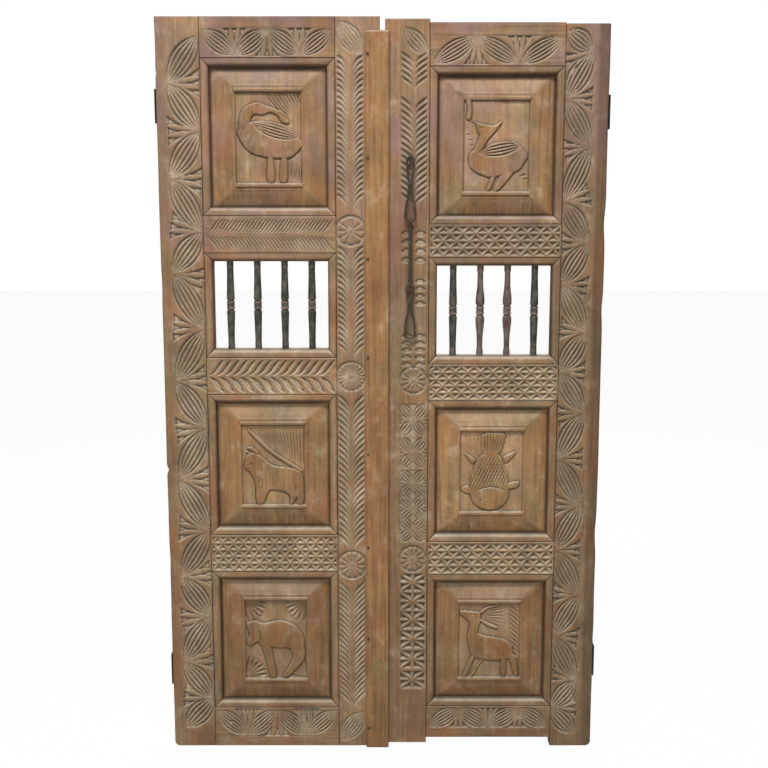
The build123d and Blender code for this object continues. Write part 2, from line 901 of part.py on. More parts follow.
def rail_chips(leaf, name):
    """The carving along a rail."""
    side = leaf["side"]
    low, high = rail_core(leaf, name)
    x_range = (leaf["quirks"][0] + rail_end_margin, leaf["quirks"][1] - rail_end_margin)
    z_range = (low + rail_margin, high - rail_margin)
    if name in ("top_rail", "bottom_rail"):
        if name == "top_rail":
            z_range = (z_range[0], high - top_rail_border)
        else:
            z_range = (low + bottom_rail_border, z_range[1])
        leaves = 3 if side > 0 and name == "top_rail" else 4
        pitch = (x_range[1] - x_range[0]) / leaves
        first_high = side < 0
        tips = [(x_range[0] + pitch * i, z_range[(i % 2) ^ first_high]) for i in range(leaves + 1)]
        return zigzag(tips)
    if side < 0 and name == "frieze_rail":
        return slant_rows(x_range, z_range, frieze_slants, frieze_slant_width)
    if side < 0 and name == "sill_rail":
        return slant_rows(x_range, z_range, sill_slants, sill_slant_width)
    if side < 0:
        return triangle_rows(x_range, z_range, lock_rows)
    rows = {"frieze_rail": right_frieze_rows, "sill_rail": right_sill_rows, "lock_rail": right_lock_rows}
    return triangle_rows(x_range, z_range, rows[name])


# The pictures: each outline is set out from the middle of its ground's foot

def goose():
    """A goose that looks back over its folded wing, among reeds."""
    body = [(-80, 137), (-73, 109), (-48, 81), (-8, 69), (25, 66), (56, 67)]
    body += [(81, 87), (88, 109), (50, 146), (0, 161), (-45, 160)]
    neck = [(-80, 137), (-76, 179), (-64, 199), (-31, 214), (-8, 204), (25, 193), (45, 182), (59, 154)]
    neck += [(34, 160), (28, 176), (6, 188), (-14, 178), (-36, 183), (-50, 168), (-45, 130)]
    legs = [[(-4, 72), (-6, 0), (17, 0), (12, 72)], [(32, 70), (28, 0), (50, 0), (50, 70)]]
    wing = [((-34 + 3 * i, 148 - 12 * i), (70 - 4 * i, 116 - 7 * i), 6) for i in range(4)]
    fronds = [((12 + 12 * i, 232), (62 + 5 * i, 178 + 4 * i), 6) for i in range(5)]
    reeds = [((58 + 9 * i, 4), (58 + 9 * i, 60), 5) for i in range(3)]
    return [body], [neck] + legs, wing, fronds + reeds


def crested_bird():
    """A bird with a tall crest and a lifted wing."""
    body = [(-68, 103), (-71, 70), (-57, 53), (-32, 42), (-10, 38), (54, 53), (74, 75)]
    body += [(82, 98), (49, 131), (24, 134), (-10, 126), (-32, 112)]
    neck = [(-66, 95), (-43, 148), (-49, 154), (-52, 168), (-57, 182), (-80, 190), (-32, 176), (-4, 173)]
    neck += [(13, 187), (15, 179), (-4, 157), (-27, 131), (-40, 95)]
    stem = [(-82, 189), (-76, 218), (-82, 244), (-68, 244), (-66, 218), (-68, 188)]
    legs = [[(-8, 50), (-28, 0), (-16, 0), (4, 50)], [(14, 50), (-8, 0), (4, 0), (20, 16), (54, 58)]]
    wing = [((-28 + 8 * i, 106 - 4 * i), (48 - 6 * i, 122 - 9 * i), 6) for i in range(4)]
    return [body], [neck, stem] + legs, wing, []


def lion():
    """A standing lion whose tail is raised along its back."""
    body = [(-81, 107), (-77, 137), (-62, 149), (-38, 143), (-5, 110), (59, 104), (80, 92), (83, 65)]
    body += [(83, 0), (65, 0), (65, 26), (53, 0), (44, 0), (47, 23), (32, 38), (-11, 44), (-20, 29)]
    body += [(-29, 0), (-50, 0), (-50, 59), (-62, 89), (-77, 101)]
    ears = [[(-77, 163), (-60, 167), (-40, 150), (-46, 140)], [(-78, 155), (-74, 148), (-52, 142)]]
    tail = [(83, 98), (-9, 157), (-66, 216), (-71, 210), (-14, 149), (79, 91)]
    strokes = [((-44 + 17 * i, 222), (-4 + 11 * i, 168 - 7 * i), 7) for i in range(8)]
    return [], [body, tail] + ears, [], strokes


def fish():
    """A scaled fish that stands on its head, with its fins spread."""
    body = [(-6, 4), (-42, 17), (-57, 48), (-54, 106), (-42, 139), (-24, 163)]
    body += [(18, 163), (39, 121), (48, 76), (48, 42), (30, 15)]
    tail = [(-24, 155), (-33, 227), (45, 227), (18, 155)]
    fins = [[(-80, 172), (-42, 148), (-54, 133)], [(76, 178), (30, 157), (39, 133)]]
    fins += [[(-83, 69), (-63, 76), (-50, 48), (-82, 56)], [(80, 88), (46, 82), (42, 62), (76, 69)]]
    scales = [((-44, 60 + 18 * i), (-6 - 2 * i, 92 + 18 * i), 6) for i in range(4)]
    scales += [((40 - 4 * i, 62 + 18 * i), (2 - 2 * i, 94 + 18 * i), 6) for i in range(4)]
    scales += [((-26 + 14 * i, 172), (-30 + 20 * i, 220), 6) for i in range(4)]
    return [body], [tail] + fins, scales, []


def elephant():
    """A walking elephant between four corner fans."""
    body = [(-86, 165), (-60, 174), (-36, 163), (14, 176), (56, 159), (78, 128), (82, 90), (60, 84)]
    body += [(35, 92), (7, 91), (-20, 96), (-40, 92), (-52, 112), (-72, 92), (-86, 106), (-74, 130)]
    legs = [[(-44, 104), (-16, 104), (-4, 30), (0, 0), (-18, 0), (-24, 40)]]
    legs += [[(82, 96), (35, 96), (52, 62), (14, 0), (32, 0), (66, 40), (80, 56)]]
    corners = (((-88, 226), -45), ((88, 226), 225), ((-88, 2), 45), ((88, 2), 135))
    fans = []
    for (x, z), turn in corners:
        for step in (-30, -10, 10, 30):
            run = (math.cos(math.radians(turn + step)), math.sin(math.radians(turn + step)))
            fans.append(((x + 12 * run[0], z + 12 * run[1]), (x + 46 * run[0], z + 46 * run[1]), 7))
    return [], [body] + legs, [], fans


def ibex():
    """An ibex with two beaded horns, before a tall frond."""
    body = [(-84, 187), (-82, 200), (-56, 197), (-25, 194), (-25, 166), (-35, 135), (-21, 124)]
    body += [(17, 119), (51, 111), (68, 90), (68, 56), (17, 48), (-11, 52), (-49, 59), (-56, 90)]
    body += [(-63, 121), (-53, 159), (-66, 176)]
    legs = [[(-49, 64), (-77, 0), (-63, 0), (-38, 64)], [(-14, 60), (-56, 0), (-46, 0), (-28, 38), (-6, 60)]]
    legs += [[(34, 56), (37, 0), (48, 0), (50, 56)], [(56, 64), (75, 0), (84, 0), (79, 50), (68, 72)]]
    horns = [[(-28, 194), (-8, 210), (30, 218), (30, 213), (-4, 205), (-22, 188)]]
    horns += [[(-26, 176), (-4, 160), (26, 149), (22, 142), (-8, 154), (-28, 168)]]
    strokes = [((2, 196 - 9 * i), (40, 208 - 15 * i), 6) for i in range(4)]
    frond = [((62, 196 - 20 * i), (86, 176 - 20 * i), 6) for i in range(7)]
    return [], [body] + legs + horns, [], strokes + frond


pictures = {
    ("left", "upper_panel"): goose,
    ("right", "upper_panel"): crested_bird,
    ("left", "middle_panel"): lion,
    ("right", "middle_panel"): fish,
    ("left", "lower_panel"): elephant,
    ("right", "lower_panel"): ibex,
}


def carved_picture(board, foot, picture):
    """A panel with its picture: forms left standing on the ground, and grooves cut into both."""
    x0, z0 = foot
    root_y = ground_y + relief_root
    round_forms, straight_forms, form_grooves, ground_grooves = picture()
    grooves = []
    for lines, face_y in ((form_grooves, relief_y), (ground_grooves, ground_y)):
        for (x1, z1), (x2, z2), width in lines:
            grooves.append(gouge((x0 + x1, z0 + z1), (x0 + x2, z0 + z2), width, face_y))
    board = board.cut(*grooves[len(form_grooves) :]) if ground_grooves else board
    for outline in round_forms + straight_forms:
        points = [(x0 + x, root_y, z0 + z) for x, z in outline]
        edge = Spline(*points, periodic=True) if outline in round_forms else Polyline(*points, close=True)
        board += extrude(make_face(edge), relief_height + relief_root, dir=(0, -1, 0))
    return board.cut(*grooves[: len(form_grooves)]) if form_grooves else board



def leaf_layout(side, levels):
    """The lines that a leaf's members are set out from."""
    sight = sorted((side * (half_width - stile_width), side * (leaf_gap / 2 + stile_width)))
    openings = {name: (*sight, *levels[name]) for name in opening_names}
    quirks = (sight[0] - moulding_width, sight[1] + moulding_width)
    return {"side": side, "levels": levels, "openings": openings, "quirks": quirks}


def leaf_pieces(prefix, leaf, outer_z, meeting_z):
    """The frame, panels, spindles, pegs and hinge flaps of one leaf."""
    side = leaf["side"]
    pieces = {}
    out_quirk, in_quirk = leaf["quirks"] if side < 0 else reversed(leaf["quirks"])
    out_edge, in_edge = ("left", "right") if side < 0 else ("right", "left")
    outer = stile(leaf, out_quirk, side * half_width, outer_z, out_edge)
    outer = outer.cut(*outer_stile_chips(leaf, out_quirk, outer_z))
    meeting = stile(leaf, in_quirk, side * leaf_gap / 2, meeting_z, in_edge)
    meeting = meeting.cut(*meeting_stile_chips(leaf, in_quirk, meeting_z[1]))
    hinge_nail_group = []
    for place, z in hinge_heights(side).items():
        outer = outer.cut(flap_recess(side, z), *hinge_nail_shanks(side, z, nail_play))
        pieces[f"{prefix}_{place}_leaf_flap"] = leaf_flap(side, z)
        hinge_nail_group += hinge_nails(side, z)
    if side < 0:
        meeting = meeting.cut(*strip_nails(nail_play))
    else:
        meeting = meeting.cut(*staple_holes())
    pieces[f"{prefix}_outer_stile"] = outer
    pieces[f"{prefix}_meeting_stile"] = meeting
    for name in rail_names:
        pieces[f"{prefix}_{name}"] = rail(leaf, name).cut(*rail_chips(leaf, name))
    for name in opening_names:
        if name != "grille":
            ground, board = panel(leaf, name)
            pieces[f"{prefix}_{name}"] = carved_picture(board, ground, pictures[prefix, name])
    for i, x in enumerate(spindle_places(leaf)):
        bulbous = side > 0 and 0 < i < spindle_count - 1
        belly = spindle_bulb_radius if bulbous else spindle_belly_radius
        pieces[f"{prefix}_spindle_{i + 1}"] = spindle(leaf, x, belly)
    pegs = []
    for name in rail_names:
        for x, outward in zip(leaf["quirks"], (-1, 1)):
            pegs.append(peg(leaf, name, x, outward, 0))
    pieces[f"{prefix}_tenon_pegs"] = Compound(children=pegs)
    pieces[f"{prefix}_hinge_nails"] = Compound(children=hinge_nail_group)
    return pieces


def hinge_fixed_side(prefix, side):
    """The jamb flaps and pins, which stay with the door frame."""
    pieces = {}
    x, y = hinge_axis(side)
    for place, z in hinge_heights(side).items():
        pieces[f"{prefix}_{place}_jamb_flap"] = jamb_flap(side, z)
        pieces[f"{prefix}_{place}_hinge_pin"] = Pos(x, y, z) * Cylinder(pin_radius, hinge_height)
    return pieces


def all_pieces():
    """Every sub-part of the door by its name."""
    left = leaf_layout(-1, left_levels)
    right = leaf_layout(1, right_levels)
    left_z = (left_levels["bottom_rail"][0], left_levels["top_rail"][1])
    right_top = right_levels["top_rail"][1]
    pieces = leaf_pieces("left", left, left_z, left_z)
    pieces.update(
        leaf_pieces(
            "right",
            right,
            (left_foot, right_top - right_outer_drop),
            (right_meeting_foot, right_top + right_meeting_rise),
        )
    )
    pieces["cover_strip"] = cover_strip().cut(*strip_nails(nail_play))
    pieces["cover_strip_nails"] = Compound(children=strip_nails(0))
    pieces["chain_staple"] = Pos(chain_x, chain_y, staple_z) * staple()
    first = link(link_1_length, link_1_eye_radius, link_1_loop_radius, link_1_neck_share)
    last = link(link_3_length, eye_radius, link_3_loop_radius, link_3_neck_share)
    pieces["chain_link_1"] = Pos(chain_x, chain_y, staple_z) * first
    pieces["chain_link_2"] = Pos(chain_x, chain_y, link_2_z) * eyed_link()
    pieces["chain_link_3"] = Pos(chain_x, chain_y, link_3_z) * last
    pieces.update(hinge_fixed_side("left", -1))
    pieces.update(hinge_fixed_side("right", 1))
    return pieces


os.makedirs("parts", exist_ok=True)
groups = ("tenon_pegs", "nails")
for node, shape in all_pieces().items():
    if not node.endswith(groups):
        shape = one_solid(shape)
    shape.label = node
    export_step(shape, f"parts/{node}.step")
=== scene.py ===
"""The carved faces, turned spindles, forged chain and finishes of a pair of door leaves."""

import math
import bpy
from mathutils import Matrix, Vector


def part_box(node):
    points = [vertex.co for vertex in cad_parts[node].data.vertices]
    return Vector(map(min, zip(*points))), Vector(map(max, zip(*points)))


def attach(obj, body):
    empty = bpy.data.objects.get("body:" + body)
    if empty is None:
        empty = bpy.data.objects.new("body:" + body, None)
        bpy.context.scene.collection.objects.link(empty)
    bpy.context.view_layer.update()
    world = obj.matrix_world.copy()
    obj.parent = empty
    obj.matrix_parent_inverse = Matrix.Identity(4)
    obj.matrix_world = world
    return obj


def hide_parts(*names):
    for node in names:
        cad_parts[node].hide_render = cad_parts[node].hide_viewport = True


bl_info = {
    "name": "Carved double door",
    "version": (1, 0, 0),
    "blender": (4, 5, 0),
    "location": "View3D > Sidebar > Carved door",
    "description": "Carves the boards and pictures, turns the spindles and forges the chain",
    "category": "Object",
}

import bpy
import numpy as np

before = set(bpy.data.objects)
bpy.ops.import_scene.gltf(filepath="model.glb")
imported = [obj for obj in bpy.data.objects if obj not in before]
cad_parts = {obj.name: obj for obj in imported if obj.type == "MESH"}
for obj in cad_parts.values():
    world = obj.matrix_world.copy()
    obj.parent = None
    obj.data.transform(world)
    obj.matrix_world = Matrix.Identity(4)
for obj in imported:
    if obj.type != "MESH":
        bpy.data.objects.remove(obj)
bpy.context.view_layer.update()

MM = 0.001
SIDES = {"left": -1, "right": 1}
RAILS = ("bottom_rail", "lock_rail", "sill_rail", "frieze_rail", "top_rail")
OPENINGS = ("lower_panel", "middle_panel", "grille", "upper_panel")

# In millimetres: the moulding's width, its quirk's depth, and how far in an edge's first grid line lies
MOULDING = 23.0
QUIRK_DEPTH = 2.4
EDGE_STEP = 1.4

# How a gouge's two ends taper: at 0 they are square, at 1 they are fine points
GOUGE_TAPER = 0.58


def linear(hex_colour):
    """An sRGB hex colour as linear red, green, blue and alpha."""
    channels = [int(hex_colour[i : i + 2], 16) / 255 for i in (1, 3, 5)]
    flat = [c / 12.92 if c <= 0.04045 else ((c + 0.055) / 1.055) ** 2.4 for c in channels]
    return (*flat, 1.0)


def colour_property(name, description, hex_colour):
    return bpy.props.FloatVectorProperty(
        name=name, description=description, default=linear(hex_colour), size=4, subtype="COLOR", min=0, max=1
    )


def length_property(name, description, millimetres):
    return bpy.props.FloatProperty(
        name=name, description=description, default=millimetres * MM, unit="LENGTH"
    )


class CarvedDoorSizes(bpy.types.PropertyGroup):
    """How finely the boards are modelled and how deep their carving is."""

    carved_step: length_property("Carved step", "Grid step in a carved band", 2.0)
    run_step: length_property("Run step", "Grid step along a board", 2.6)
    picture_step: length_property("Picture step", "Grid step in a panel's picture", 1.75)
    plain_step: length_property("Plain step", "Grid step across plain wood", 5.0)
    moulding_step: length_property("Moulding step", "Grid step along a moulded edge", 9.0)
    gouge_slope: bpy.props.FloatProperty(
        name="Gouge slope", description="Steepness of a gouge's walls", default=1.2, min=0.1, max=2
    )
    deepest_gouge: length_property("Deepest gouge", "Depth that no gouge passes", 5.2)
    warp: length_property("Warp", "Height of the boards' slow waves", 0.5)
    tool_marks: length_property("Tool marks", "Height of the plane and gouge marks", 0.16)


class CarvedDoorColours(bpy.types.PropertyGroup):
    """The colours of the wood, the paint and the iron."""

    brown: colour_property("Brown", "Weathered brown of the frame", "#80674c")
    tan: colour_property("Tan", "Lighter streaks in the grain", "#98795a")
    panel: colour_property("Panel", "Yellower brown of the panels", "#846541")
    panel_light: colour_property("Panel light", "Lighter streaks in the panels", "#9b7850")
    umber: colour_property("Umber", "Darker streaks in the grain", "#5f4733")
    ochre: colour_property("Ochre", "Warm patches rubbed by hands", "#946a40")
    mauve: colour_property("Mauve", "Traces of an old pink wash near the top", "#8a6c68")
    russet: colour_property("Russet", "Reddish patches in the wood", "#93603f")
    olive: colour_property("Olive", "Greenish patches in the wood", "#7b6f4e")
    # Shown only as painted light on faces that point up, near the top
    wash_and_light: colour_property("Wash", "Remains of a pinkish white wash", "#a68f88")
    # Also the painted light on faces that point up
    dust_and_light: colour_property("Dust", "Pale dust in the carving", "#c0b29b")
    # Also the painted shade on faces that point down, in narrow valleys and in quirks
    grime_and_shade: colour_property("Grime", "Dark dirt in the hollows", "#382a1d")
    rubbed: colour_property("Rubbed", "Worn crests of the carving", "#8a7052")
    strip: colour_property("Strip", "Orange tan of the cover strip", "#926c44")
    strip_light: colour_property("Strip light", "Lighter grain of the cover strip", "#a57c50")
    paint: colour_property("Paint", "Dark green black paint of the spindles", "#2f322b")
    bare: colour_property("Bare", "Brown wood of the two unpainted spindles", "#594841")
    ring: colour_property("Ring", "Worn rings of the spindles", "#93796a")
    iron: colour_property("Iron", "Forged iron with a brown bloom", "#40382f")
    bright_iron: colour_property("Bright iron", "Iron rubbed bright", "#6f675d")


def sizes():
    return bpy.context.scene.carved_door_sizes


def in_mm(name):
    """A size from the panel, in millimetres."""
    return getattr(sizes(), name) / MM


def colours():
    return bpy.context.scene.carved_door_colours


# Places taken from the frame, in millimetres


def mm_box(name):
    """A node's lowest and highest corners, in millimetres."""
    low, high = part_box(name)
    return [v / MM for v in low], [v / MM for v in high]


def leaf_lines(prefix):
    """The lines that a leaf is set out from: its face and back, quirk lines, rails and openings."""
    outer_low, outer_high = mm_box(f"{prefix}_outer_stile")
    inner_low, inner_high = mm_box(f"{prefix}_meeting_stile")
    if prefix == "left":
        sight = (outer_high[0], inner_low[0])
    else:
        sight = (inner_high[0], outer_low[0])
    rails = {}
    for name in RAILS:
        low, high = mm_box(f"{prefix}_{name}")
        rails[name] = (low[2], high[2])
    openings = {}
    for name, below, above in zip(OPENINGS, RAILS, RAILS[1:]):
        openings[name] = (*sight, rails[below][1], rails[above][0])
    return {
        "side": SIDES[prefix],
        "face": outer_low[1],
        "back": outer_high[1] - 0.3,
        "quirks": (sight[0] - MOULDING, sight[1] + MOULDING),
        "rails": rails,
        "openings": openings,
        "outer": (outer_low, outer_high),
        "meeting": (inner_low, inner_high),
    }


# Boards as grids of depths below their face, in millimetres


def new_board(xs, zs):
    """A flat board: its grid lines and the depth of each crossing."""
    return {"x": np.asarray(xs), "z": np.asarray(zs), "cut": np.zeros((len(zs), len(xs))), "dirt_and_shade": 0.8}


def window(board, x_low, x_high, z_low, z_high):
    """The part of a board's grid inside a rectangle: its slices and its coordinates."""
    left, right = np.searchsorted(board["x"], (x_low, x_high))
    low, high = np.searchsorted(board["z"], (z_low, z_high))
    part = (slice(low, high), slice(left, right))
    return part, board["x"][None, left:right], board["z"][low:high, None]


def waves(board, cell_x, cell_z, seed):
    """Smooth random waves over a board, from -1 to 1, with cells of the given size."""
    across = (board["x"] - board["x"][0]) / cell_x
    along = (board["z"] - board["z"][0]) / cell_z
    shape = (int(along[-1]) + 2, int(across[-1]) + 2)
    heights = np.random.default_rng(seed).uniform(-1, 1, shape)
    column = across.astype(int)
    row = along.astype(int)
    u = across - column
    v = along - row
    u = u * u * (3 - 2 * u)
    v = (v * v * (3 - 2 * v))[:, None]
    lower = heights[row][:, column] * (1 - u) + heights[row][:, column + 1] * u
    upper = heights[row + 1][:, column] * (1 - u) + heights[row + 1][:, column + 1] * u
    return lower * (1 - v) + upper * v


def sink(board, part, depth):
    """Lowers a part of a board to a depth, where it isn't deeper already."""
    board["cut"][part] = np.maximum(board["cut"][part], depth)


def fading(distance, reach):
    """1 where a distance is 0, and less and less out to 0 at its reach."""
    return np.clip(1 - distance / reach, 0, 1)


def hump(values, middle, width):
    """1 in the middle, and less and less to both sides, like a bell's outline."""
    return np.exp(-(((values - middle) / width) ** 2))


def from_line(x, z, start, end):
    """How far along a line the place nearest to each point is, from 0 to 1, and the distance to it."""
    step_x, step_z = end[0] - start[0], end[1] - start[1]
    share = (x - start[0]) * step_x + (z - start[1]) * step_z
    share = np.clip(share / (step_x**2 + step_z**2), 0, 1)
    return share, np.hypot(x - start[0] - share * step_x, z - start[1] - share * step_z)


def groove(board, path, width, skew=1.0, limit=None):
    """Cuts a gouge along a path: pointed at both ends, its widest place shifted by the skew."""
    path = np.asarray(path, float)
    part, x, z = window(
        board,
        path[:, 0].min() - width,
        path[:, 0].max() + width,
        path[:, 1].min() - width,
        path[:, 1].max() + width,
    )
    if not x.size or not z.size:
        return
    slope = sizes().gouge_slope
    limit = limit or in_mm("deepest_gouge")
    runs = len(path) - 1
    depth = np.zeros((z.size, x.size))
    for i in range(runs):
        share, distance = from_line(x, z, path[i], path[i + 1])
        half = width / 2 * np.sin(np.pi * ((i + share) / runs) ** skew) ** GOUGE_TAPER
        depth = np.maximum(depth, (half - distance) * slope)
    sink(board, part, np.minimum(depth, limit))


def bend(points, count=9):
    """Points along the smooth curve that a chain of points pulls."""
    t = np.linspace(0, 1, count)[:, None]
    rows = [np.broadcast_to(np.asarray(point, float), (count, 2)) for point in points]
    while len(rows) > 1:
        rows = [first * (1 - t) + second * t for first, second in zip(rows, rows[1:])]
    return rows[0]


def leaf_veins(tail, tip, girth, veins, fill=0.95):
    """The paths and widths of a leaf's veins, which part at its tail and meet again at its tip."""
    tail, tip = np.asarray(tail, float), np.asarray(tip, float)
    along = tip - tail
    across = np.array((-along[1], along[0])) / np.hypot(*along)
    pitch = girth / veins
    paths = []
    for i in range(veins):
        place = i - (veins - 1) / 2
        aside = across * pitch * place * 4 / 3
        trim = 0.014 * abs(place) - 0.02
        start, end = tail + along * trim, tip - along * trim
        path = bend((start, start + along * 0.27 + aside, end - along * 0.27 + aside, end), 11)
        paths.append((path, pitch * fill))
    return paths


def carve_leaf(board, tail, tip, girth, veins):
    """Carves a leaf of veins side by side."""
    for path, width in leaf_veins(tail, tip, girth, veins):
        groove(board, path, width)


def carve_fan(board, tip, away, reach, petals):
    """Sinks a flared wedge that opens from a tip, and leaves rounded petals standing in it."""
    part, xs, zs = window(board, tip[0] - reach, tip[0] + reach, tip[1] - reach, tip[1] + reach)
    run = (math.cos(away), math.sin(away))
    along = (xs - tip[0]) * run[0] + (zs - tip[1]) * run[1]
    aside = (zs - tip[1]) * run[0] - (xs - tip[0]) * run[1]
    ahead = np.clip(along, 0, None)
    share = np.clip(ahead / reach, 0, 1)
    flare = 0.24 * ahead + 0.26 * ahead * share
    depth = np.clip(np.minimum(flare - np.abs(aside), (reach - along) * 1.3), 0, min(4.6, reach * 0.09))
    half = reach * 0.068 * np.sin(np.pi * share**1.8) ** 0.7
    for i in range(petals):
        offset = np.abs(aside - (i - (petals - 1) / 2) * 0.32 * ahead)
        crown = np.clip(ahead / 18, 0, 1) * (0.7 + np.clip(offset / 6, 0, 1) ** 2)
        depth = np.minimum(depth, np.clip(offset - half, 0, None) * 1.4 + crown)
    sink(board, part, depth)


def carve_zigzag(board, tips, girth, veins=6):
    """Carves leaves from tip to tip, with petals across from each inner tip."""
    for tail, tip in zip(tips, tips[1:]):
        carve_leaf(board, tail, tip, girth, veins)
    for before, tip, after in zip(tips, tips[1:], tips[2:]):
        far = ((before[0] + after[0]) / 2, (before[1] + after[1]) / 2)
        away = math.atan2(far[1] - tip[1], far[0] - tip[0])
        carve_fan(board, tip, away, math.dist(far, tip) * 1.06, 2)


def carve_fern(board, middle, half, low, high, pitch, rise=54.0, curl=0.0):
    """Carves blades that leave a midrib and rise to both sides; the more curl, the flatter their ends."""
    count = max(1, round((high - low - rise) / pitch))
    pitch = (high - low - rise) / count
    for i in range(count + 1):
        z = low + pitch * i
        for side in (-1, 1):
            start = (middle + side * 2.2, z)
            first = (middle + side * (4 + 3 * curl), z + rise * (0.42 + 0.22 * curl))
            second = (middle + side * half * (0.55 + 0.08 * curl), z + rise * (0.62 + 0.34 * curl))
            path = bend((start, first, second, (middle + side * half, z + rise)))
            groove(board, path, pitch * 0.74, skew=1.7)


def carve_rosette(board, x, z, petals, radius=36):
    """Carves a rosette: petals with round ends, standing in a sunk ring."""
    reach = radius + 8
    part, xs, zs = window(board, x - reach, x + reach, z - reach, z + reach)
    across, up = xs - x, zs - z
    distance = np.hypot(across, up)
    phase = (np.arctan2(up, across) / (2 * np.pi) * petals) % 1
    edge = radius - 9 + 8 * np.sqrt(np.sin(np.pi * phase))
    seam = np.minimum(phase, 1 - phase) * 2 * np.pi * distance / petals
    width = 2.6 + 2.0 * distance / radius
    petal = np.clip(width - seam, 0, None) * 0.9 * np.clip((distance - 3) / 4, 0, 1)
    outside = np.clip((distance - edge) * 1.3, 0, 3.6) * np.clip((reach - distance) / 2.5, 0, 1)
    depth = np.where(distance < edge, petal, outside)
    sink(board, part, depth)


def carve_star(board, x, z, half_x, half_z):
    """Carves eight chips round a point, with sharp rays left between them."""
    part, xs, zs = window(board, x - half_x, x + half_x, z - half_z, z + half_z)
    across, up = np.abs(xs - x), np.abs(zs - z)
    diagonal = np.abs(across * half_z - up * half_x) / math.hypot(half_x, half_z)
    border = np.minimum(half_x - across, half_z - up)
    near = np.minimum.reduce([across + 0 * up, up + 0 * across, diagonal, border])
    sink(board, part, np.clip(near - 0.7, 0, None) * 1.15)


def carve_cross_leaves(board, x, z, half_x, half_z):
    """Carves four leaves that cross in an X, with petals beside them and a sunk wedge above and below."""
    for side_x in (-1, 1):
        for side_z in (-1, 1):
            end = (x + side_x * half_x, z + side_z * half_z)
            carve_leaf(board, (x + side_x, z + side_z), end, 35, 4)
        carve_fan(board, (x + side_x * 4, z), math.pi * (1 - side_x) / 2, half_x, 2)
    for side_z in (-1, 1):
        carve_fan(board, (x, z + side_z * half_z * 0.4), math.pi / 2 * side_z, half_z * 0.62, 0)


def carve_ladder(board, middle, half, low, high, rungs, sides):
    """Carves level grooves one above the other, with round rungs left between them."""
    pitch = (high - low) / rungs
    for i in range(rungs + 1):
        for side in sides:
            z = low + pitch * i
            path = ((middle + side * 3, z), (middle + side * half / 2, z + 1.2), (middle + side * half, z))
            groove(board, path, pitch * 0.8, limit=3.4)


def carve_triangles(board, x_range, z_range, columns, rows):
    """Carves rows of three-sided chips, point up and point down in turn."""
    part, xs, zs = window(board, *x_range, *z_range)
    width = (x_range[1] - x_range[0]) / columns
    height = (z_range[1] - z_range[0]) / rows
    row = np.floor((zs - z_range[0]) / height)
    up = zs - z_range[0] - row * height
    along = ((xs - x_range[0]) / width + 0.5 * (row % 2)) % 1
    slant = math.hypot(height, width / 2)
    from_side = (np.minimum(along, 1 - along) * 2 * height - up) * (width / 2) / slant
    inner = np.minimum(from_side, up)
    outer = np.minimum(-from_side, height - up)
    depth = np.where(from_side > 0, inner, outer)
    sink(board, part, np.clip(depth - 0.5, 0, None) * 1.1)


def carve_slants(board, x_range, z_range, upper, lower):
    """Carves an upper and a lower row of bent, slanting grooves; each row is a count and a width."""
    middle = (z_range[0] + z_range[1]) / 2
    height = (z_range[1] - z_range[0]) / 2 - 2
    lean = height * 0.95
    for side, (count, width) in ((1, upper), (-1, lower)):
        near, far = middle + side * 2.5, middle + side * height
        rise = far - near
        for x in np.linspace(x_range[0], x_range[1] - lean, count):
            knees = ((x + lean * 0.5, near + rise * 0.12), (x + lean * 0.58, far - rise * 0.3))
            groove(board, bend(((x, near), *knees, (x + lean, far))), width, skew=1.2)
    groove(board, [(x_range[0], middle), (np.mean(x_range), middle), (x_range[1], middle)], 2.4, limit=1.2)


# Turning boards into closed meshes

# How much lighter or darker a board is than the others
TONES = {
    "left_top_rail": 0.82,
    "left_sill_rail": 1.12,
    "left_frieze_rail": 1.03,
    "left_lock_rail": 1.1,
    "left_meeting_stile": 1.04,
    "right_outer_stile": 0.86,
    "right_meeting_stile": 0.96,
    "right_lock_rail": 1.06,
    "right_sill_rail": 1.04,
    "right_frieze_rail": 0.87,
    "right_top_rail": 0.9,
    "left_upper_panel": 0.98,
    "right_upper_panel": 0.98,
    "right_middle_panel": 1.14,
    "left_lower_panel": 0.94,
    "cover_strip": 0.9,
}


def deselect():
    if bpy.context.mode != "OBJECT":
        bpy.ops.object.mode_set(mode="OBJECT")
    bpy.ops.object.select_all(action="DESELECT")


def blurred(values, reach):
    """The mean of each value's neighbours on a grid."""
    for axis in (0, 1):
        padding = [(0, 0), (0, 0)]
        padding[axis] = (reach + 1, reach)
        total = np.cumsum(np.pad(values, padding, mode="edge"), axis=axis)
        length = values.shape[axis]
        ahead = np.take(total, range(2 * reach + 1, 2 * reach + 1 + length), axis=axis)
        behind = np.take(total, range(length), axis=axis)
        values = (ahead - behind) / (2 * reach + 1)
    return values


def set_field(mesh, name, values):
    """Stores a value for each vertex of a mesh under a name."""
    field = mesh.attributes.get(name) or mesh.attributes.new(name, "FLOAT", "POINT")
    field.data.foreach_set("value", np.asarray(values, np.float32).ravel())


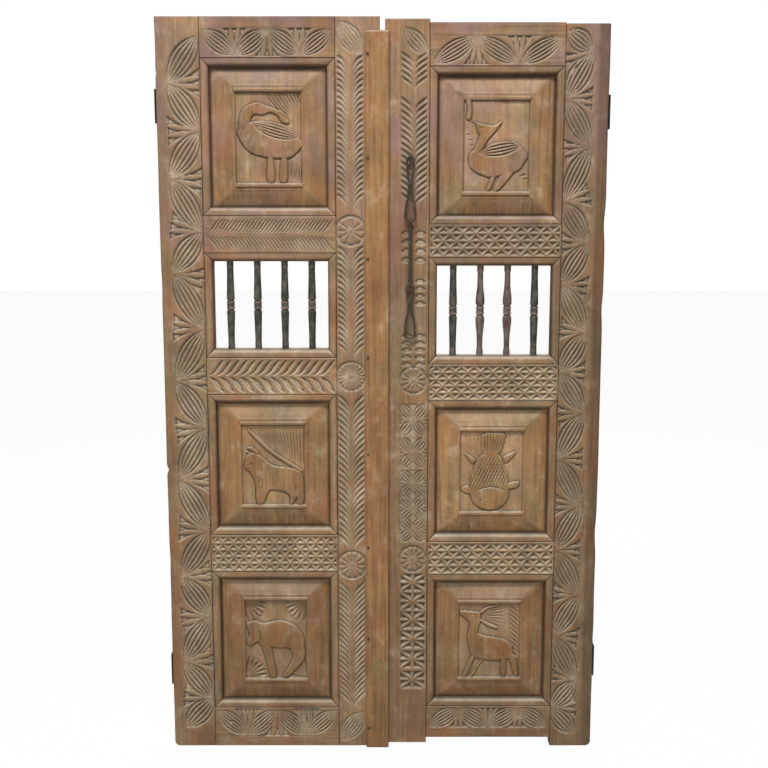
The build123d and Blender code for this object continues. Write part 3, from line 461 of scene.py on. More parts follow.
def closed_grid(x, y, z, back, fields):
    """A closed piece with a shaped grid for its front and a flat back, all in millimetres."""
    rows, columns = y.shape
    deselect()
    bpy.ops.mesh.primitive_grid_add(x_subdivisions=columns - 1, y_subdivisions=rows - 1, size=1)
    piece = bpy.context.object
    mesh = piece.data
    front = np.stack(np.broadcast_arrays(x, y, z), axis=-1).reshape(-1, 3)
    mesh.vertices.foreach_set("co", (front * MM).ravel())
    for name, values in fields.items():
        set_field(mesh, name, values)
    bpy.ops.object.mode_set(mode="EDIT")
    bpy.ops.mesh.select_mode(type="EDGE")
    bpy.ops.mesh.select_all(action="DESELECT")
    bpy.ops.mesh.select_non_manifold(
        extend=False,
        use_wire=False,
        use_boundary=True,
        use_multi_face=False,
        use_non_contiguous=False,
        use_verts=False,
    )
    bpy.ops.mesh.extrude_region_move(TRANSFORM_OT_translate={"value": (0, 5 * MM, 0)})
    bpy.ops.mesh.edge_face_add()
    bpy.ops.object.mode_set(mode="OBJECT")
    count = len(mesh.vertices)
    points = np.empty(count * 3)
    mesh.vertices.foreach_get("co", points)
    points = points.reshape(-1, 3)
    points[len(front) :, 1] = back * MM
    mesh.vertices.foreach_set("co", points.ravel())
    for name, values in fields.items():
        behind = np.zeros(count - len(front))
        set_field(mesh, name, np.concatenate((np.ravel(values), behind)))
    return piece


def relief_fields(board):
    """Where a carved face holds dust, where it holds dirt and painted shade, and where its crests are rubbed.
    """
    cut = board["cut"]
    relief = blurred(cut, 2) - cut
    return {
        "hollow": np.clip(blurred(cut, 1) / 2.6, 0, 1),
        # Painted shade with dirt: darker along the bottoms of narrow valleys
        "dirt_and_shade": np.clip(-relief - 0.3, 0, 1) * board["dirt_and_shade"],
        "crest": np.clip(relief / 0.9, 0, 1),
    }


def board_piece(board, face, back, worn=None):
    """Turns a board's depths into a closed mesh, with its hollows and crests kept for the finish."""
    cut = board["cut"]
    fields = relief_fields(board)
    lift = waves(board, 90, 260, 3) * in_mm("warp") + waves(board, 7, 46, 5) * in_mm("tool_marks")
    x = np.broadcast_to(board["x"][None, :], cut.shape).copy()
    z = np.broadcast_to(board["z"][:, None], cut.shape).copy()
    y = face + np.maximum(cut + in_mm("warp") + lift, 0)
    for edge in (y[0], y[-1], y[:, 0], y[:, -1]):
        edge += QUIRK_DEPTH
    dirt_and_shade = fields["dirt_and_shade"]
    # Painted shade in the quirks along the board's four edges
    for line in (dirt_and_shade[0], dirt_and_shade[-1], dirt_and_shade[:, 0], dirt_and_shade[:, -1]):
        line[:] = 1
    if worn:
        worn(x, y, z, dirt_and_shade)
    return closed_grid(x, y, z, back, fields)


def moulding_profile():
    """Distances in from the quirk and depths of the moulded edge: V line, flat fillet and round."""
    turn = np.linspace(0, math.pi / 2, 9)[1:]
    distance = [0, 0.9, 1.6, 2.6, 6.5, 10]
    depth = [QUIRK_DEPTH, 1.6, 0.9, 0.6, 0.8, 1.0]
    distance += list(10 + 13 * np.sin(turn))
    depth += list(1.0 + 12.5 * (1 - np.cos(turn)))
    return np.array(distance), np.array(depth)


def moulded_run(opening, edge, face, back):
    """The moulded edge along one side of an opening, mitred at both ends."""
    x0, x1, z0, z1 = opening
    distance, depth = moulding_profile()
    inward = MOULDING - distance
    level = edge in ("bottom", "top")
    low, high = (x0, x1) if level else (z0, z1)
    length = high - low + 2 * MOULDING
    count = max(2, round(length / in_mm("moulding_step")))
    share = np.concatenate(([0], np.linspace(0.003, 0.997, count), [1]))[:, None]
    along = low - inward + share * (high - low + 2 * inward)
    lines = {
        "left": x0 - inward,
        "right": x1 + inward,
        "bottom": z0 - inward,
        "top": z1 + inward,
    }
    across = np.broadcast_to(lines[edge], along.shape)
    seed = round(abs(x0) + z0) % 97
    ripple = np.random.default_rng(seed).uniform(0, 0.35, (len(share), 1))
    y = face + depth[None, :] + ripple
    ends = (share[:, 0] == 0) | (share[:, 0] == 1)
    y[ends] += 1.0
    # Painted shade in the quirk and at the foot of the round beside the panel; dark mitre joints at the ends
    dirt_and_shade = np.interp(distance, (0, 1.6, 4, 15, 20, 23), (1, 0.4, 0, 0, 0.3, 0.8))
    dirt_and_shade = np.broadcast_to(dirt_and_shade, y.shape).copy()
    dirt_and_shade[ends] = 0.9
    crest = np.interp(distance, (2, 3, 9, 13, 17), (0, 0.3, 0.1, 0.35, 0.1))
    fields = {"hollow": np.zeros(y.shape), "dirt_and_shade": dirt_and_shade, "crest": np.broadcast_to(crest, y.shape)}
    arrays = [along, y, across] if level else [across, y, along]
    return closed_grid(*arrays, back, fields)


def joined(name, pieces):
    """Joins pieces to one named object whose faces point outwards."""
    deselect()
    for piece in pieces:
        piece.select_set(True)
    bpy.context.view_layer.objects.active = pieces[0]
    if len(pieces) > 1:
        bpy.ops.object.join()
    piece = bpy.context.object
    piece.name = name
    piece.data.name = name
    bpy.ops.object.mode_set(mode="EDIT")
    bpy.ops.mesh.select_all(action="SELECT")
    bpy.ops.mesh.normals_make_consistent(inside=False)
    bpy.ops.object.mode_set(mode="OBJECT")
    bpy.ops.object.shade_smooth_by_angle(angle=math.radians(80))
    return piece


def hand_over(piece, node_name, body, material):
    """Gives a piece its finish and its place in the frame."""
    set_field(piece.data, "tone", np.full(len(piece.data.vertices), TONES.get(node_name, 1.0) - 1))
    piece.data.materials.clear()
    piece.data.materials.append(material)
    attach(piece, body)
    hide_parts(node_name)


# Finishes, each built up from layers of colour


def new_node(tree, kind, inputs=None, **settings):
    """Adds a shader node, with its settings and its sockets' values or links."""
    made = tree.nodes.new(kind)
    for key, value in settings.items():
        setattr(made, key, value)
    for key, value in (inputs or {}).items():
        if isinstance(value, bpy.types.NodeSocket):
            tree.links.new(value, made.inputs[key])
        else:
            made.inputs[key].default_value = value
    return made


def share_of(tree, *ranges):
    """A product of ranges; each takes a socket from low to high and gives from least to most."""
    product = None
    for value, low, high, least, most in ranges:
        inputs = {"Value": value, "From Min": low, "From Max": high, "To Min": least, "To Max": most}
        share = new_node(tree, "ShaderNodeMapRange", inputs).outputs[0]
        if product is not None:
            inputs = {0: product, 1: share}
            share = new_node(tree, "ShaderNodeMath", inputs, operation="MULTIPLY").outputs[0]
        product = share
    return product


def layered(tree, colour, layers):
    """A colour with others laid over it; each layer is a colour and the ranges that give its share."""
    for over, *ranges in layers:
        inputs = {0: share_of(tree, *ranges), 6: colour, 7: over}
        colour = new_node(tree, "ShaderNodeMix", inputs, data_type="RGBA").outputs[2]
    return colour


def mesh_fields(tree, *names):
    """Sockets that read the values stored in a mesh under these names."""
    return [new_node(tree, "ShaderNodeAttribute", attribute_name=name).outputs["Fac"] for name in names]


def noise(tree, coords, cell, detail=3.0, roughness=0.55):
    """A random pattern whose cells have these sizes in millimetres along X, Y and Z."""
    stretch = [1 / (size * MM) for size in cell]
    scaled = new_node(tree, "ShaderNodeMapping", {"Vector": coords, "Scale": stretch})
    inputs = {"Vector": scaled.outputs[0], "Scale": 1.0, "Detail": detail, "Roughness": roughness}
    return new_node(tree, "ShaderNodeTexNoise", inputs).outputs["Fac"]


def emptied(holder):
    """The node tree of a material or a world, with nothing in it."""
    holder.use_nodes = True
    holder.node_tree.nodes.clear()
    return holder.node_tree


def empty_material(name):
    material = bpy.data.materials.new(name)
    tree = emptied(material)
    coords = new_node(tree, "ShaderNodeTexCoord").outputs["Object"]
    return material, tree, coords


# Dry wood, old paint and rusty iron mirror less light than smooth surfaces, whose sheen is 0.5
SHEEN = 0.3


def finish_material(tree, colour, roughness, height, lift, metallic=0.0):
    """Ends a material: its colour, roughness and fine bumps of a height in metres."""
    bump = new_node(tree, "ShaderNodeBump", {"Height": height, "Distance": lift, "Strength": 1.0})
    inputs = {
        "Base Color": colour,
        "Roughness": roughness,
        "Normal": bump.outputs[0],
        "Metallic": metallic,
        "Specular IOR Level": SHEEN,
    }
    surface = new_node(tree, "ShaderNodeBsdfPrincipled", inputs)
    new_node(tree, "ShaderNodeOutputMaterial", {"Surface": surface.outputs[0]})


def wood_material(name, level, base, light, warmth, pink):
    """Planed and carved hardwood, never varnished, with its grain along X or Z.

    It looks matt and streaked: painted light with dust pales what faces up, painted shade darkens what faces
    down and the narrow valleys, hands have rubbed the crests, and a pink wash is left near the top.
    """
    tint = colours()
    material, tree, coords = empty_material(name)
    # Grain lines are 7.7 mm apart; real fibres are too fine to show, so they are drawn 1.6 mm apart
    grain = (200.0, 16.67, 7.692) if level else (7.692, 16.67, 200.0)
    fine = (45.45, 3.333, 1.5625) if level else (1.5625, 3.333, 45.45)
    broad = (286.0, 167.0, 111.0) if level else (111.0, 167.0, 385.0)
    streaks = noise(tree, coords, grain)
    fibres = noise(tree, coords, fine, 2.0)
    patches = noise(tree, coords, broad, 2.0)
    blotches = noise(tree, coords, (38.46, 38.46, 50.0), 3.0, 0.65)
    clouds = noise(tree, coords, (111.0, 111.0, 166.7), 3.0, 0.6)
    spots = noise(tree, coords, (125.0, 125.0, 142.9), 2.0)
    stains = noise(tree, coords, (62.5, 62.5, 100.0), 5.0, 0.7)
    height = new_node(tree, "ShaderNodeSeparateXYZ", {0: coords}).outputs[2]
    normal = new_node(tree, "ShaderNodeNewGeometry").outputs["Normal"]
    upward = new_node(tree, "ShaderNodeSeparateXYZ", {0: normal}).outputs[2]
    crest, hollow, dirt_and_shade, tone = mesh_fields(tree, "crest", "hollow", "dirt_and_shade", "tone")
    # Painted light with dust for faces that point up, pinker near the top
    painted_light_and_dust = layered(tree, tint.dust_and_light, [(tint.wash_and_light, (height, 1.1, 1.8, 0, 0.85 * pink))])
    layers = (
        (light, (streaks, 0.42, 0.66, 0, 1)),
        (tint.umber, (streaks, 0.46, 0.30, 0, 0.5)),
        (tint.ochre, (patches, 0.48, 0.68, 0, warmth)),
        (tint.dust_and_light, (blotches, 0.55, 0.75, 0, 0.4)),
        (tint.russet, (clouds, 0.51, 0.68, 0, 0.65)),
        (tint.olive, (clouds, 0.47, 0.32, 0, 0.55)),
        (tint.mauve, (height, 1.1, 1.8, 0, 1), (spots, 0.44, 0.64, 0, 0.75 * pink)),
        (tint.umber, (height, 0.9, 0.05, 0, 0.4), (patches, 0.3, 0.6, 0, 1)),
        (tint.dust_and_light, (hollow, 0.1, 0.9, 0, 0.5), (blotches, 0.3, 0.6, 0.5, 1)),
        # Painted light with dust on faces that point up
        (painted_light_and_dust, (upward, 0.12, 0.6, 0, 0.85), (blotches, 0.25, 0.55, 0.6, 1)),
        # Painted shade on faces that point down
        (tint.grime_and_shade, (upward, -0.12, -0.6, 0, 0.62)),
        (tint.rubbed, (crest, 0.1, 0.7, 0, 0.75), (blotches, 0.7, 0.4, 0.4, 1)),
        # Painted shade with dirt in narrow valleys, quirks and the recesses of mouldings and panels
        (tint.grime_and_shade, (dirt_and_shade, 0.05, 0.85, 0, 0.9)),
        (tint.grime_and_shade, (fibres, 0.36, 0.28, 0, 0.3)),
    )
    colour = layered(tree, base, layers)
    stained = share_of(tree, (stains, 0.3, 0.7, 0.76, 1.26))
    board = new_node(tree, "ShaderNodeMath", {0: tone, 1: 1.0}, operation="ADD").outputs[0]
    scale = new_node(tree, "ShaderNodeMath", {0: stained, 1: board}, operation="MULTIPLY").outputs[0]
    colour = new_node(tree, "ShaderNodeVectorMath", {0: colour, "Scale": scale}, operation="SCALE").outputs[0]
    rough = share_of(tree, (streaks, 0.3, 0.7, 0.62, 0.85))
    bumps = new_node(tree, "ShaderNodeMath", {0: fibres, 1: streaks}, operation="ADD").outputs[0]
    finish_material(tree, colour, rough, bumps, 0.5 * MM)
    return material


def turned_material(name, base, spread):
    """Turned hardwood, brushed with oil paint or bare: half matt, dusty, and rubbed on the rings' crests."""
    tint = colours()
    material, tree, coords = empty_material(name)
    cloud = noise(tree, coords, (16.67, 16.67, 29.41), 4.0, 0.6)
    # Brush and tool marks are too fine to show, so they are drawn 2.5 mm apart
    brushed = noise(tree, coords, (2.5, 2.5, 16.67), 2.0)
    crest, hollow = mesh_fields(tree, "crest", "hollow")
    layers = (
        (tint.dust_and_light, (cloud, 0.4, 0.7, 0, spread)),
        (tint.grime_and_shade, (cloud, 0.45, 0.3, 0, 0.6)),
        (tint.ring, (crest, 0, 1, 0, 1), (cloud, 0.3, 0.55, 0.4, 1)),
        (linear("#221d18"), (hollow, 0, 1, 0, 0.7)),
    )
    rough = share_of(tree, (cloud, 0.3, 0.7, 0.45, 0.7))
    finish_material(tree, layered(tree, base, layers), rough, brushed, 0.3 * MM)
    return material


def iron_material(name):
    """Wrought iron, forged black: dull brown bloom, hammer dents, and a soft shine where it is rubbed."""
    tint = colours()
    material, tree, coords = empty_material(name)
    # Patches of bloom are 11 mm wide, and dents 4 mm
    cloud = noise(tree, coords, (11.11, 11.11, 16.67), 4.0, 0.65)
    dents = noise(tree, coords, (3.846, 3.846, 5.0), 2.0)
    layers = (
        (tint.bright_iron, (cloud, 0.52, 0.72, 0, 0.75)),
        (linear("#54402f"), (cloud, 0.46, 0.3, 0, 0.7)),
    )
    rough = share_of(tree, (cloud, 0.3, 0.75, 0.62, 0.4))
    shine = share_of(tree, (cloud, 0.4, 0.75, 0.2, 0.7))
    finish_material(tree, layered(tree, tint.iron, layers), rough, dents, 0.35 * MM, shine)
    return material


def finish_named(name):
    """A finish by name, made when it is first asked for."""
    if name in bpy.data.materials:
        return bpy.data.materials[name]
    tint = colours()
    # Each wood's grain is level or not; then come its colour, its streaks, its warmth and its pink wash
    woods = {
        "planed hardwood upright": (False, tint.brown, tint.tan, 0.5, 1.0),
        "planed hardwood level": (True, tint.brown, tint.tan, 0.3, 1.0),
        "fielded hardwood": (False, tint.panel, tint.panel_light, 0.85, 0.7),
        "planed strip hardwood": (False, tint.strip, tint.strip_light, 0.3, 0.0),
    }
    # Each turned finish has a colour and a share of dust
    turnings = {"brushed oil paint": (tint.paint, 0.17), "turned bare hardwood": (tint.bare, 0.2)}
    if name in woods:
        return wood_material(name, *woods[name])
    if name in turnings:
        return turned_material(name, *turnings[name])
    return iron_material(name)


# Members of a leaf


def segmented(start, *parts):
    """Grid lines from a start through parts given as their end and step, with close lines at both edges."""
    lines = [start]
    for end, step in parts:
        count = max(1, round((end - lines[-1]) / step))
        lines.extend(np.linspace(lines[-1], end, count + 1)[1:])
    lines = np.array(lines)
    low, high = lines[0] + EDGE_STEP, lines[-1] - EDGE_STEP
    inner = lines[(lines > low + 0.5) & (lines < high - 0.5)]
    return np.concatenate((lines[:1], [low], inner, [high], lines[-1:]))


def steps():
    """The grid steps in millimetres: carved, along a board and plain."""
    return in_mm("carved_step"), in_mm("run_step"), in_mm("plain_step")


# The heights at which the outer stiles' zigzags turn
OUTER_TIPS = {
    "left": (1991, 1867, 1744, 1619, 1477, 1366, 1214, 1069, 939, 792, 644, 508, 392, 255, 145, 56),
    "right": (
        2004, 1949, 1828, 1704, 1557, 1448, 1335, 1204, 1094,
        982, 850, 718, 588, 456, 335, 199, 114, 38,
    ),
}

# Places on the outer edges where wood is worn away: the height, how far it reaches and the depth
WORN_EDGES = {
    "left": ((1955, 62, 1.6), (1893, 8, 1.8), (819, 9, 4.2), (560, 30, 1.2), (1330, 45, 1.1)),
    "right": ((1497, 40, 3.4), (1266, 34, 2.6), (634, 42, 3.2), (1800, 60, 1.0), (300, 50, 1.2)),
}

# In millimetres: the rounding of a stile's foot, and how far in wear, rounding and dirt reach from its edge
FOOT_ROUND = 14
WEAR_REACH = 26
ARRIS_REACH = 7
DIRT_REACH = 34

# How dark years of handling have made the outer edges
EDGE_DIRT = {"left": 0.16, "right": 0.42}


def outer_stile(prefix, lines):
    """The stile at the hinges: a zigzag of leaves beside its quirk, and plain wood to the worn edge."""
    carved, run, plain = steps()
    low, high = lines["outer"]
    if prefix == "left":
        edge = low[0] + 0.4
        xs = segmented(edge, (edge + 29, plain), (lines["quirks"][0], carved))
        sides, girth = (edge + 113, edge + 32), 70
    else:
        edge = high[0] - 0.4
        xs = segmented(lines["quirks"][1], (lines["quirks"][1] + 76, carved), (edge, plain))
        sides, girth = (edge - 114, edge - 46), 64
    board = new_board(xs, segmented(low[2], (high[2], run)))
    tips = [(sides[i % 2], z) for i, z in enumerate(OUTER_TIPS[prefix])]
    carve_zigzag(board, tips, girth)

    def worn(x, y, z, dirt_and_shade):
        """Wears the edge inwards, rounds its arris and the foot, and darkens the wood along it."""
        inward = 0.5 + 0.5 * waves(board, 900, 120, 11)[:, :1]
        for place, reach, depth in WORN_EDGES[prefix]:
            inward = inward + depth * hump(z[:, :1], place, reach)
        from_foot = np.clip(FOOT_ROUND - (z[:, :1] - low[2]), 0, FOOT_ROUND)
        inward = inward + FOOT_ROUND - np.sqrt(FOOT_ROUND**2 - from_foot**2)
        distance = np.abs(x - edge)
        x += -lines["side"] * inward * fading(distance, WEAR_REACH)
        y += fading(distance, ARRIS_REACH) ** 2 * (1.2 + 0.35 * inward)
        dirt_and_shade *= np.where(distance < 1, 0.3, 1)
        np.maximum(dirt_and_shade, np.clip((DIRT_REACH - distance) / 8, 0, 1) * EDGE_DIRT[prefix], out=dirt_and_shade)

    return board_piece(board, lines["face"], lines["back"], worn)


def meeting_stile(prefix, lines):
    """The stile in the middle of the door, with its upright band of leaves, ferns and rosettes."""
    carved, run, plain = steps()
    low, high = lines["meeting"]
    if prefix == "left":
        xs = segmented(lines["quirks"][1], (-46, carved), (high[0], plain))
    else:
        xs = segmented(low[0], (44, plain), (lines["quirks"][0], carved))
    board = new_board(xs, segmented(low[2], (high[2], run)))
    if prefix == "left":
        board["dirt_and_shade"] = 0.55
        carve_left_band(board, -86, high[2])
        return board_piece(board, lines["face"], lines["back"])
    board["dirt_and_shade"] = 0.7
    carve_right_band(board, 84, high[2])
    staple_low, staple_high = mm_box("chain_staple")
    chain_x = (staple_low[0] + staple_high[0]) / 2
    chain_foot = mm_box("chain_link_3")[0][2]

    def stained(x, y, z, dirt_and_shade):
        """Dirt that the chain has left on the wood behind it."""
        beside = hump(x, chain_x, 15)
        along = np.clip((z - chain_foot + 30) / 40, 0, 1) * np.clip((staple_high[2] + 40 - z) / 50, 0, 1)
        np.maximum(dirt_and_shade, 0.42 * beside * along, out=dirt_and_shade)

    return board_piece(board, lines["face"], lines["back"], stained)


def carve_left_band(board, x, top):
    """The left band: ferns between rosettes, with a slanting leaf at each end, at drops from its top."""
    carve_leaf(board, (x - 33, top - 10), (x + 33, top - 99), 62, 7)
    ferns = ((100, 516, 15, 1), (600, 920, 15.5, 0.8), (1006, 1458, 17.5, 0.3), (1542, 1924, 15.5, 0))
    for low, high, pitch, curl in ferns:
        carve_fern(board, x, 37, top - high, top - low, pitch, curl=curl)
    for drop, petals in ((558, 10), (955, 20), (1494, 12)):
        carve_rosette(board, x, top - drop, petals)
    carve_leaf(board, (x - 33, top - 2026), (x + 33, top - 1930), 62, 7)


def carve_right_band(board, x, top):
    """The right band: ferns, ladders, rosettes, crossed leaves and stars, at drops from its top."""
    carve_leaf(board, (x - 26, top - 22), (x + 36, top - 92), 50, 5)
    carve_fern(board, x, 36, top - 180, top - 84, 17, 34)
    carve_fern(board, x, 36, top - 488, top - 200, 17, 38)
    carve_ladder(board, x, 34, top - 632, top - 560, 3, (-1, 1))
    carve_ladder(board, x, 34, top - 749, top - 689, 3, (1,))
    carve_ladder(board, x, 34, top - 917, top - 839, 4, (-1, 1))
    for drop, petals in ((960, 12), (1470, 12)):
        carve_rosette(board, x, top - drop, petals, 33)
    for drop, half in ((1072, 46), (1165, 45), (1253, 40), (1322, 33), (1386, 33)):
        carve_cross_leaves(board, x, top - drop, 35, half)
    for drop in (1540, 1596, 1651, 1709, 1769, 1830):
        carve_star(board, x + 1, top - drop, 38, 28)


def rail_board(lines, name):
    """An uncarved rail between its stiles' quirks and its own."""
    carved, _, _ = steps()
    low, high = lines["rails"][name]
    low += MOULDING if name != "bottom_rail" else 0
    high -= MOULDING if name != "top_rail" else 0
    left, right = lines["quirks"]
    return new_board(segmented(left, (right, carved)), segmented(low, (high, carved)))


def carve_rail(prefix, name, board):
    """Carves a rail with its own pattern."""
    left, right = board["x"][0] + 5, board["x"][-1] - 5
    low, high = board["z"][0] + 4, board["z"][-1] - 4
    ends = (left, right), (low, high)
    if name in ("bottom_rail", "top_rail"):
        count = 3 if (prefix, name) == ("right", "top_rail") else 4
        if name == "top_rail":
            high -= 26 if prefix == "left" else 30
        else:
            low += 26
        starts_high = prefix == "left"
        xs = np.linspace(left + 3, right - 3, count + 1)
        heights = ((high - 3, low + 3) if starts_high else (low + 3, high - 3)) * 3
        carve_zigzag(board, list(zip(xs, heights)), 54)
        line = high if name == "top_rail" else low
        if (prefix, name) == ("left", "bottom_rail"):
            # A knot has fallen out
            groove(board, [(-444, 70), (-433, 75), (-424, 71)], 13, limit=8)
        groove(board, [(left, line), ((left + right) / 2, line), (right, line)], 3, limit=1.4)
    elif (prefix, name) == ("left", "frieze_rail"):
        carve_slants(board, *ends, (32, 7.6), (31, 7.8))
    elif (prefix, name) == ("left", "sill_rail"):
        carve_slants(board, *ends, (15, 13), (12, 17.5))
    elif (prefix, name) == ("left", "lock_rail"):
        board["dirt_and_shade"] = 0.55
        carve_triangles(board, *ends, 12, 5)
    else:
        board["dirt_and_shade"] = 0.55
        rows = {"frieze_rail": 4, "sill_rail": 5, "lock_rail": 4}[name]
        carve_triangles(board, *ends, 10, rows)


def make_stiles_and_rails(prefix):
    """Builds a leaf's two stiles and five rails with their moulded edges."""
    lines = leaf_lines(prefix)
    face, back = lines["face"], lines["back"]
    outer_edge, meeting_edge = ("left", "right") if prefix == "left" else ("right", "left")
    made = {
        f"{prefix}_outer_stile": [outer_stile(prefix, lines)],
        f"{prefix}_meeting_stile": [meeting_stile(prefix, lines)],
    }
    for which, edge in (("outer", outer_edge), ("meeting", meeting_edge)):
        for opening in lines["openings"].values():
            made[f"{prefix}_{which}_stile"].append(moulded_run(opening, edge, face, back))
    for name in RAILS:
        board = rail_board(lines, name)
        carve_rail(prefix, name, board)
        made[f"{prefix}_{name}"] = [board_piece(board, face, back)]
    for opening_name, below, above in zip(OPENINGS, RAILS, RAILS[1:]):
        opening = lines["openings"][opening_name]
        made[f"{prefix}_{below}"].append(moulded_run(opening, "bottom", face, back))
        made[f"{prefix}_{above}"].append(moulded_run(opening, "top", face, back))
    for node_name, parts in made.items():
        wood = "planed hardwood level" if node_name.endswith("rail") else "planed hardwood upright"
        piece = joined(f"carved_{node_name}", parts)
        hand_over(piece, node_name, f"{prefix}_leaf", finish_named(wood))


# Pictures in the panels, in millimetres from the middle of the ground's foot


def stroke(start, end, width, bow=0.0):
    """One stroke's path and width, as a list; it bows aside by a distance."""
    first, last = np.array(start, float), np.array(end, float)
    aside = np.array((first[1] - last[1], last[0] - first[0])) * bow / max(math.dist(first, last), 1)
    return [(bend((first, (first + last) / 2 + 2 * aside, last), 7), width)]


def strokes(count, start, start_step, end, end_step, width, bow=0.0):
    """Strokes in a row, from where the first starts and ends and the steps to the next."""
    paths = []
    for i in range(count):
        first = np.array(start, float) + np.array(start_step, float) * i
        last = np.array(end, float) + np.array(end_step, float) * i
        paths += stroke(first, last, width, bow)
    return paths


def goose():
    """A goose that looks back over its folded wing, among reeds."""
    body = [(-80, 137), (-73, 109), (-48, 81), (-8, 69), (25, 66), (56, 67)]
    body += [(81, 87), (88, 109), (50, 146), (0, 161), (-45, 160)]
    neck = [(-80, 137), (-76, 179), (-64, 199), (-31, 214), (-8, 204), (25, 193), (45, 182), (59, 154)]
    neck += [(34, 160), (28, 176), (6, 188), (-14, 178), (-36, 183), (-50, 168), (-45, 130)]
    legs = [[(-4, 72), (-6, 0), (17, 0), (12, 72)], [(32, 70), (28, 0), (50, 0), (50, 70)]]
    marks = leaf_veins((-48, 160), (88, 120), 47, 6)
    marks += strokes(2, (-32, 204), (14, 1), (-25, 205), (14, 1), 4.5)
    marks += stroke((22, 188), (56, 160), 4, 3)
    marks += strokes(3, (-70, 134), (9, -16), (-66, 154), (11, -13), 3.5)
    behind = strokes(9, (-8, 240), (11, 0), (50, 172), (5.2, 4), 7.5, -5)
    behind += strokes(6, (57, 4), (6, 0), (54, 66), (6.5, -3), 5)
    behind += strokes(3, (-24, 4), (7, 0), (-12, 62), (4, 2), 5)
    return [body], [neck] + legs, marks, behind


def crested_bird():
    """A bird with a tall crest and a lifted wing."""
    body = [(-68, 103), (-71, 70), (-57, 53), (-32, 42), (-10, 38), (54, 53), (74, 75)]
    body += [(82, 98), (49, 131), (24, 134), (-10, 126), (-32, 112)]
    neck = [(-66, 95), (-43, 148), (-49, 154), (-52, 168), (-57, 182), (-80, 190), (-32, 176), (-4, 173)]
    neck += [(13, 187), (15, 179), (-4, 157), (-27, 131), (-40, 95)]
    stem = [(-82, 189), (-76, 218), (-84, 244), (-108, 258), (-110, 270), (-92, 264), (-70, 246)]
    stem += [(-66, 218), (-68, 188)]
    legs = [[(-8, 50), (-28, 0), (-16, 0), (4, 50)], [(14, 50), (-8, 0), (4, 0), (20, 16), (54, 58)]]
    marks = leaf_veins((-50, 102), (72, 126), 44, 5)
    marks += stroke((-44, 168), (-36, 167), 5)
    marks += strokes(2, (-10, 168), (5, -6), (10, 182), (3, -4), 3.5)
    behind = strokes(3, (-84, 150), (5, -14), (-66, 150), (4, -14), 5)
    behind += strokes(2, (60, 40), (10, -8), (84, 46), (2, -12), 6)
    return [body], [neck, stem] + legs, marks, behind


def lion():
    """A standing lion whose tail is raised along its back."""
    body = [(-81, 107), (-77, 137), (-62, 149), (-38, 143), (-5, 110), (59, 104), (80, 92), (83, 65)]
    body += [(83, 0), (65, 0), (65, 26), (53, 0), (44, 0), (47, 23), (32, 38), (-11, 44), (-20, 29)]
    body += [(-29, 0), (-50, 0), (-50, 59), (-62, 89), (-77, 101)]
    ears = [[(-77, 163), (-60, 167), (-40, 150), (-46, 140)], [(-78, 155), (-74, 148), (-52, 142)]]
    tail = [(83, 98), (-9, 157), (-66, 216), (-71, 210), (-14, 149), (79, 91)]
    marks = strokes(2, (-70, 112), (0, 0), (-54, 120), (0, -6), 4.5, 2)
    marks += stroke((-76, 162), (-46, 146), 5)
    marks += strokes(3, (-42, 60), (6, -18), (-38, 80), (6, -20), 3.5)
    marks += stroke((58, 40), (70, 58), 4, 3)
    behind = strokes(15, (-54, 219), (9.9, 0), (-14, 166), (6.9, -4.1), 6.4)
    return [], [body, tail] + ears, marks, behind


def fish():
    """A scaled fish that stands on its head, with its fins spread."""
    body = [(-6, 4), (-42, 17), (-57, 48), (-54, 106), (-42, 139), (-24, 163)]
    body += [(18, 163), (39, 121), (48, 76), (48, 42), (30, 15)]
    tail = [(-24, 155), (-33, 227), (45, 227), (18, 155)]
    fins = [[(-80, 172), (-42, 148), (-54, 133)], [(76, 178), (30, 157), (39, 133)]]
    fins += [[(-83, 69), (-63, 76), (-50, 48), (-82, 56)], [(80, 88), (46, 82), (42, 62), (76, 69)]]
    marks = strokes(12, (-76, 58), (9, 0), (-24, 166), (9, 0), 6)
    marks += strokes(11, (-34, 68), (9, 0), (-76, 158), (9, 0), 4.4)
    marks += strokes(9, (-24, 168), (5.4, 0), (-30, 227), (9, 0), 6)
    marks += stroke((-54, 52), (46, 56), 6, 17)
    marks += strokes(2, (-34, 34), (44, -8), (-26, 30), (42, -5), 5)
    marks += stroke((8, 10), (20, 18), 4)
    return [body], [tail] + fins, marks, strokes(4, (-40, 226), (-12, 0), (-38, 196), (-10, 2), 4)


def elephant():
    """A walking elephant between four corner fans."""
    body = [(-86, 165), (-60, 174), (-36, 163), (14, 176), (56, 159), (78, 128), (82, 90), (60, 84)]
    body += [(35, 92), (7, 91), (-20, 96), (-40, 92), (-52, 112), (-72, 92), (-86, 106), (-74, 130)]
    legs = [[(-44, 104), (-16, 104), (-4, 30), (0, 0), (-18, 0), (-24, 40)]]
    legs += [[(82, 96), (35, 96), (52, 62), (14, 0), (32, 0), (66, 40), (80, 56)]]
    marks = stroke((-52, 150), (-50, 108), 5, 8)
    marks += strokes(2, (-72, 92), (6, -2), (-60, 108), (5, -4), 4)
    marks += stroke((66, 120), (76, 70), 4, -4)
    marks += stroke((-66, 150), (-60, 150), 5)
    behind = []
    for (x, z), turn in (((-88, 232), -45), ((88, 232), 225), ((-88, 2), 45), ((88, 2), 135)):
        for step in (-37, -22, -7, 7, 22, 37):
            angle = math.radians(turn + step)
            run = np.array((math.cos(angle), math.sin(angle)))
            behind += stroke(run * 8 + (x, z), run * 66 + (x, z), 13)
        angles = np.radians(turn) + np.linspace(-0.74, 0.74, 13)
        arc = np.stack((x + 64 * np.cos(angles), z + 64 * np.sin(angles)), axis=1)
        behind.append((arc, 4.5))
    return [], [body] + legs, marks, behind


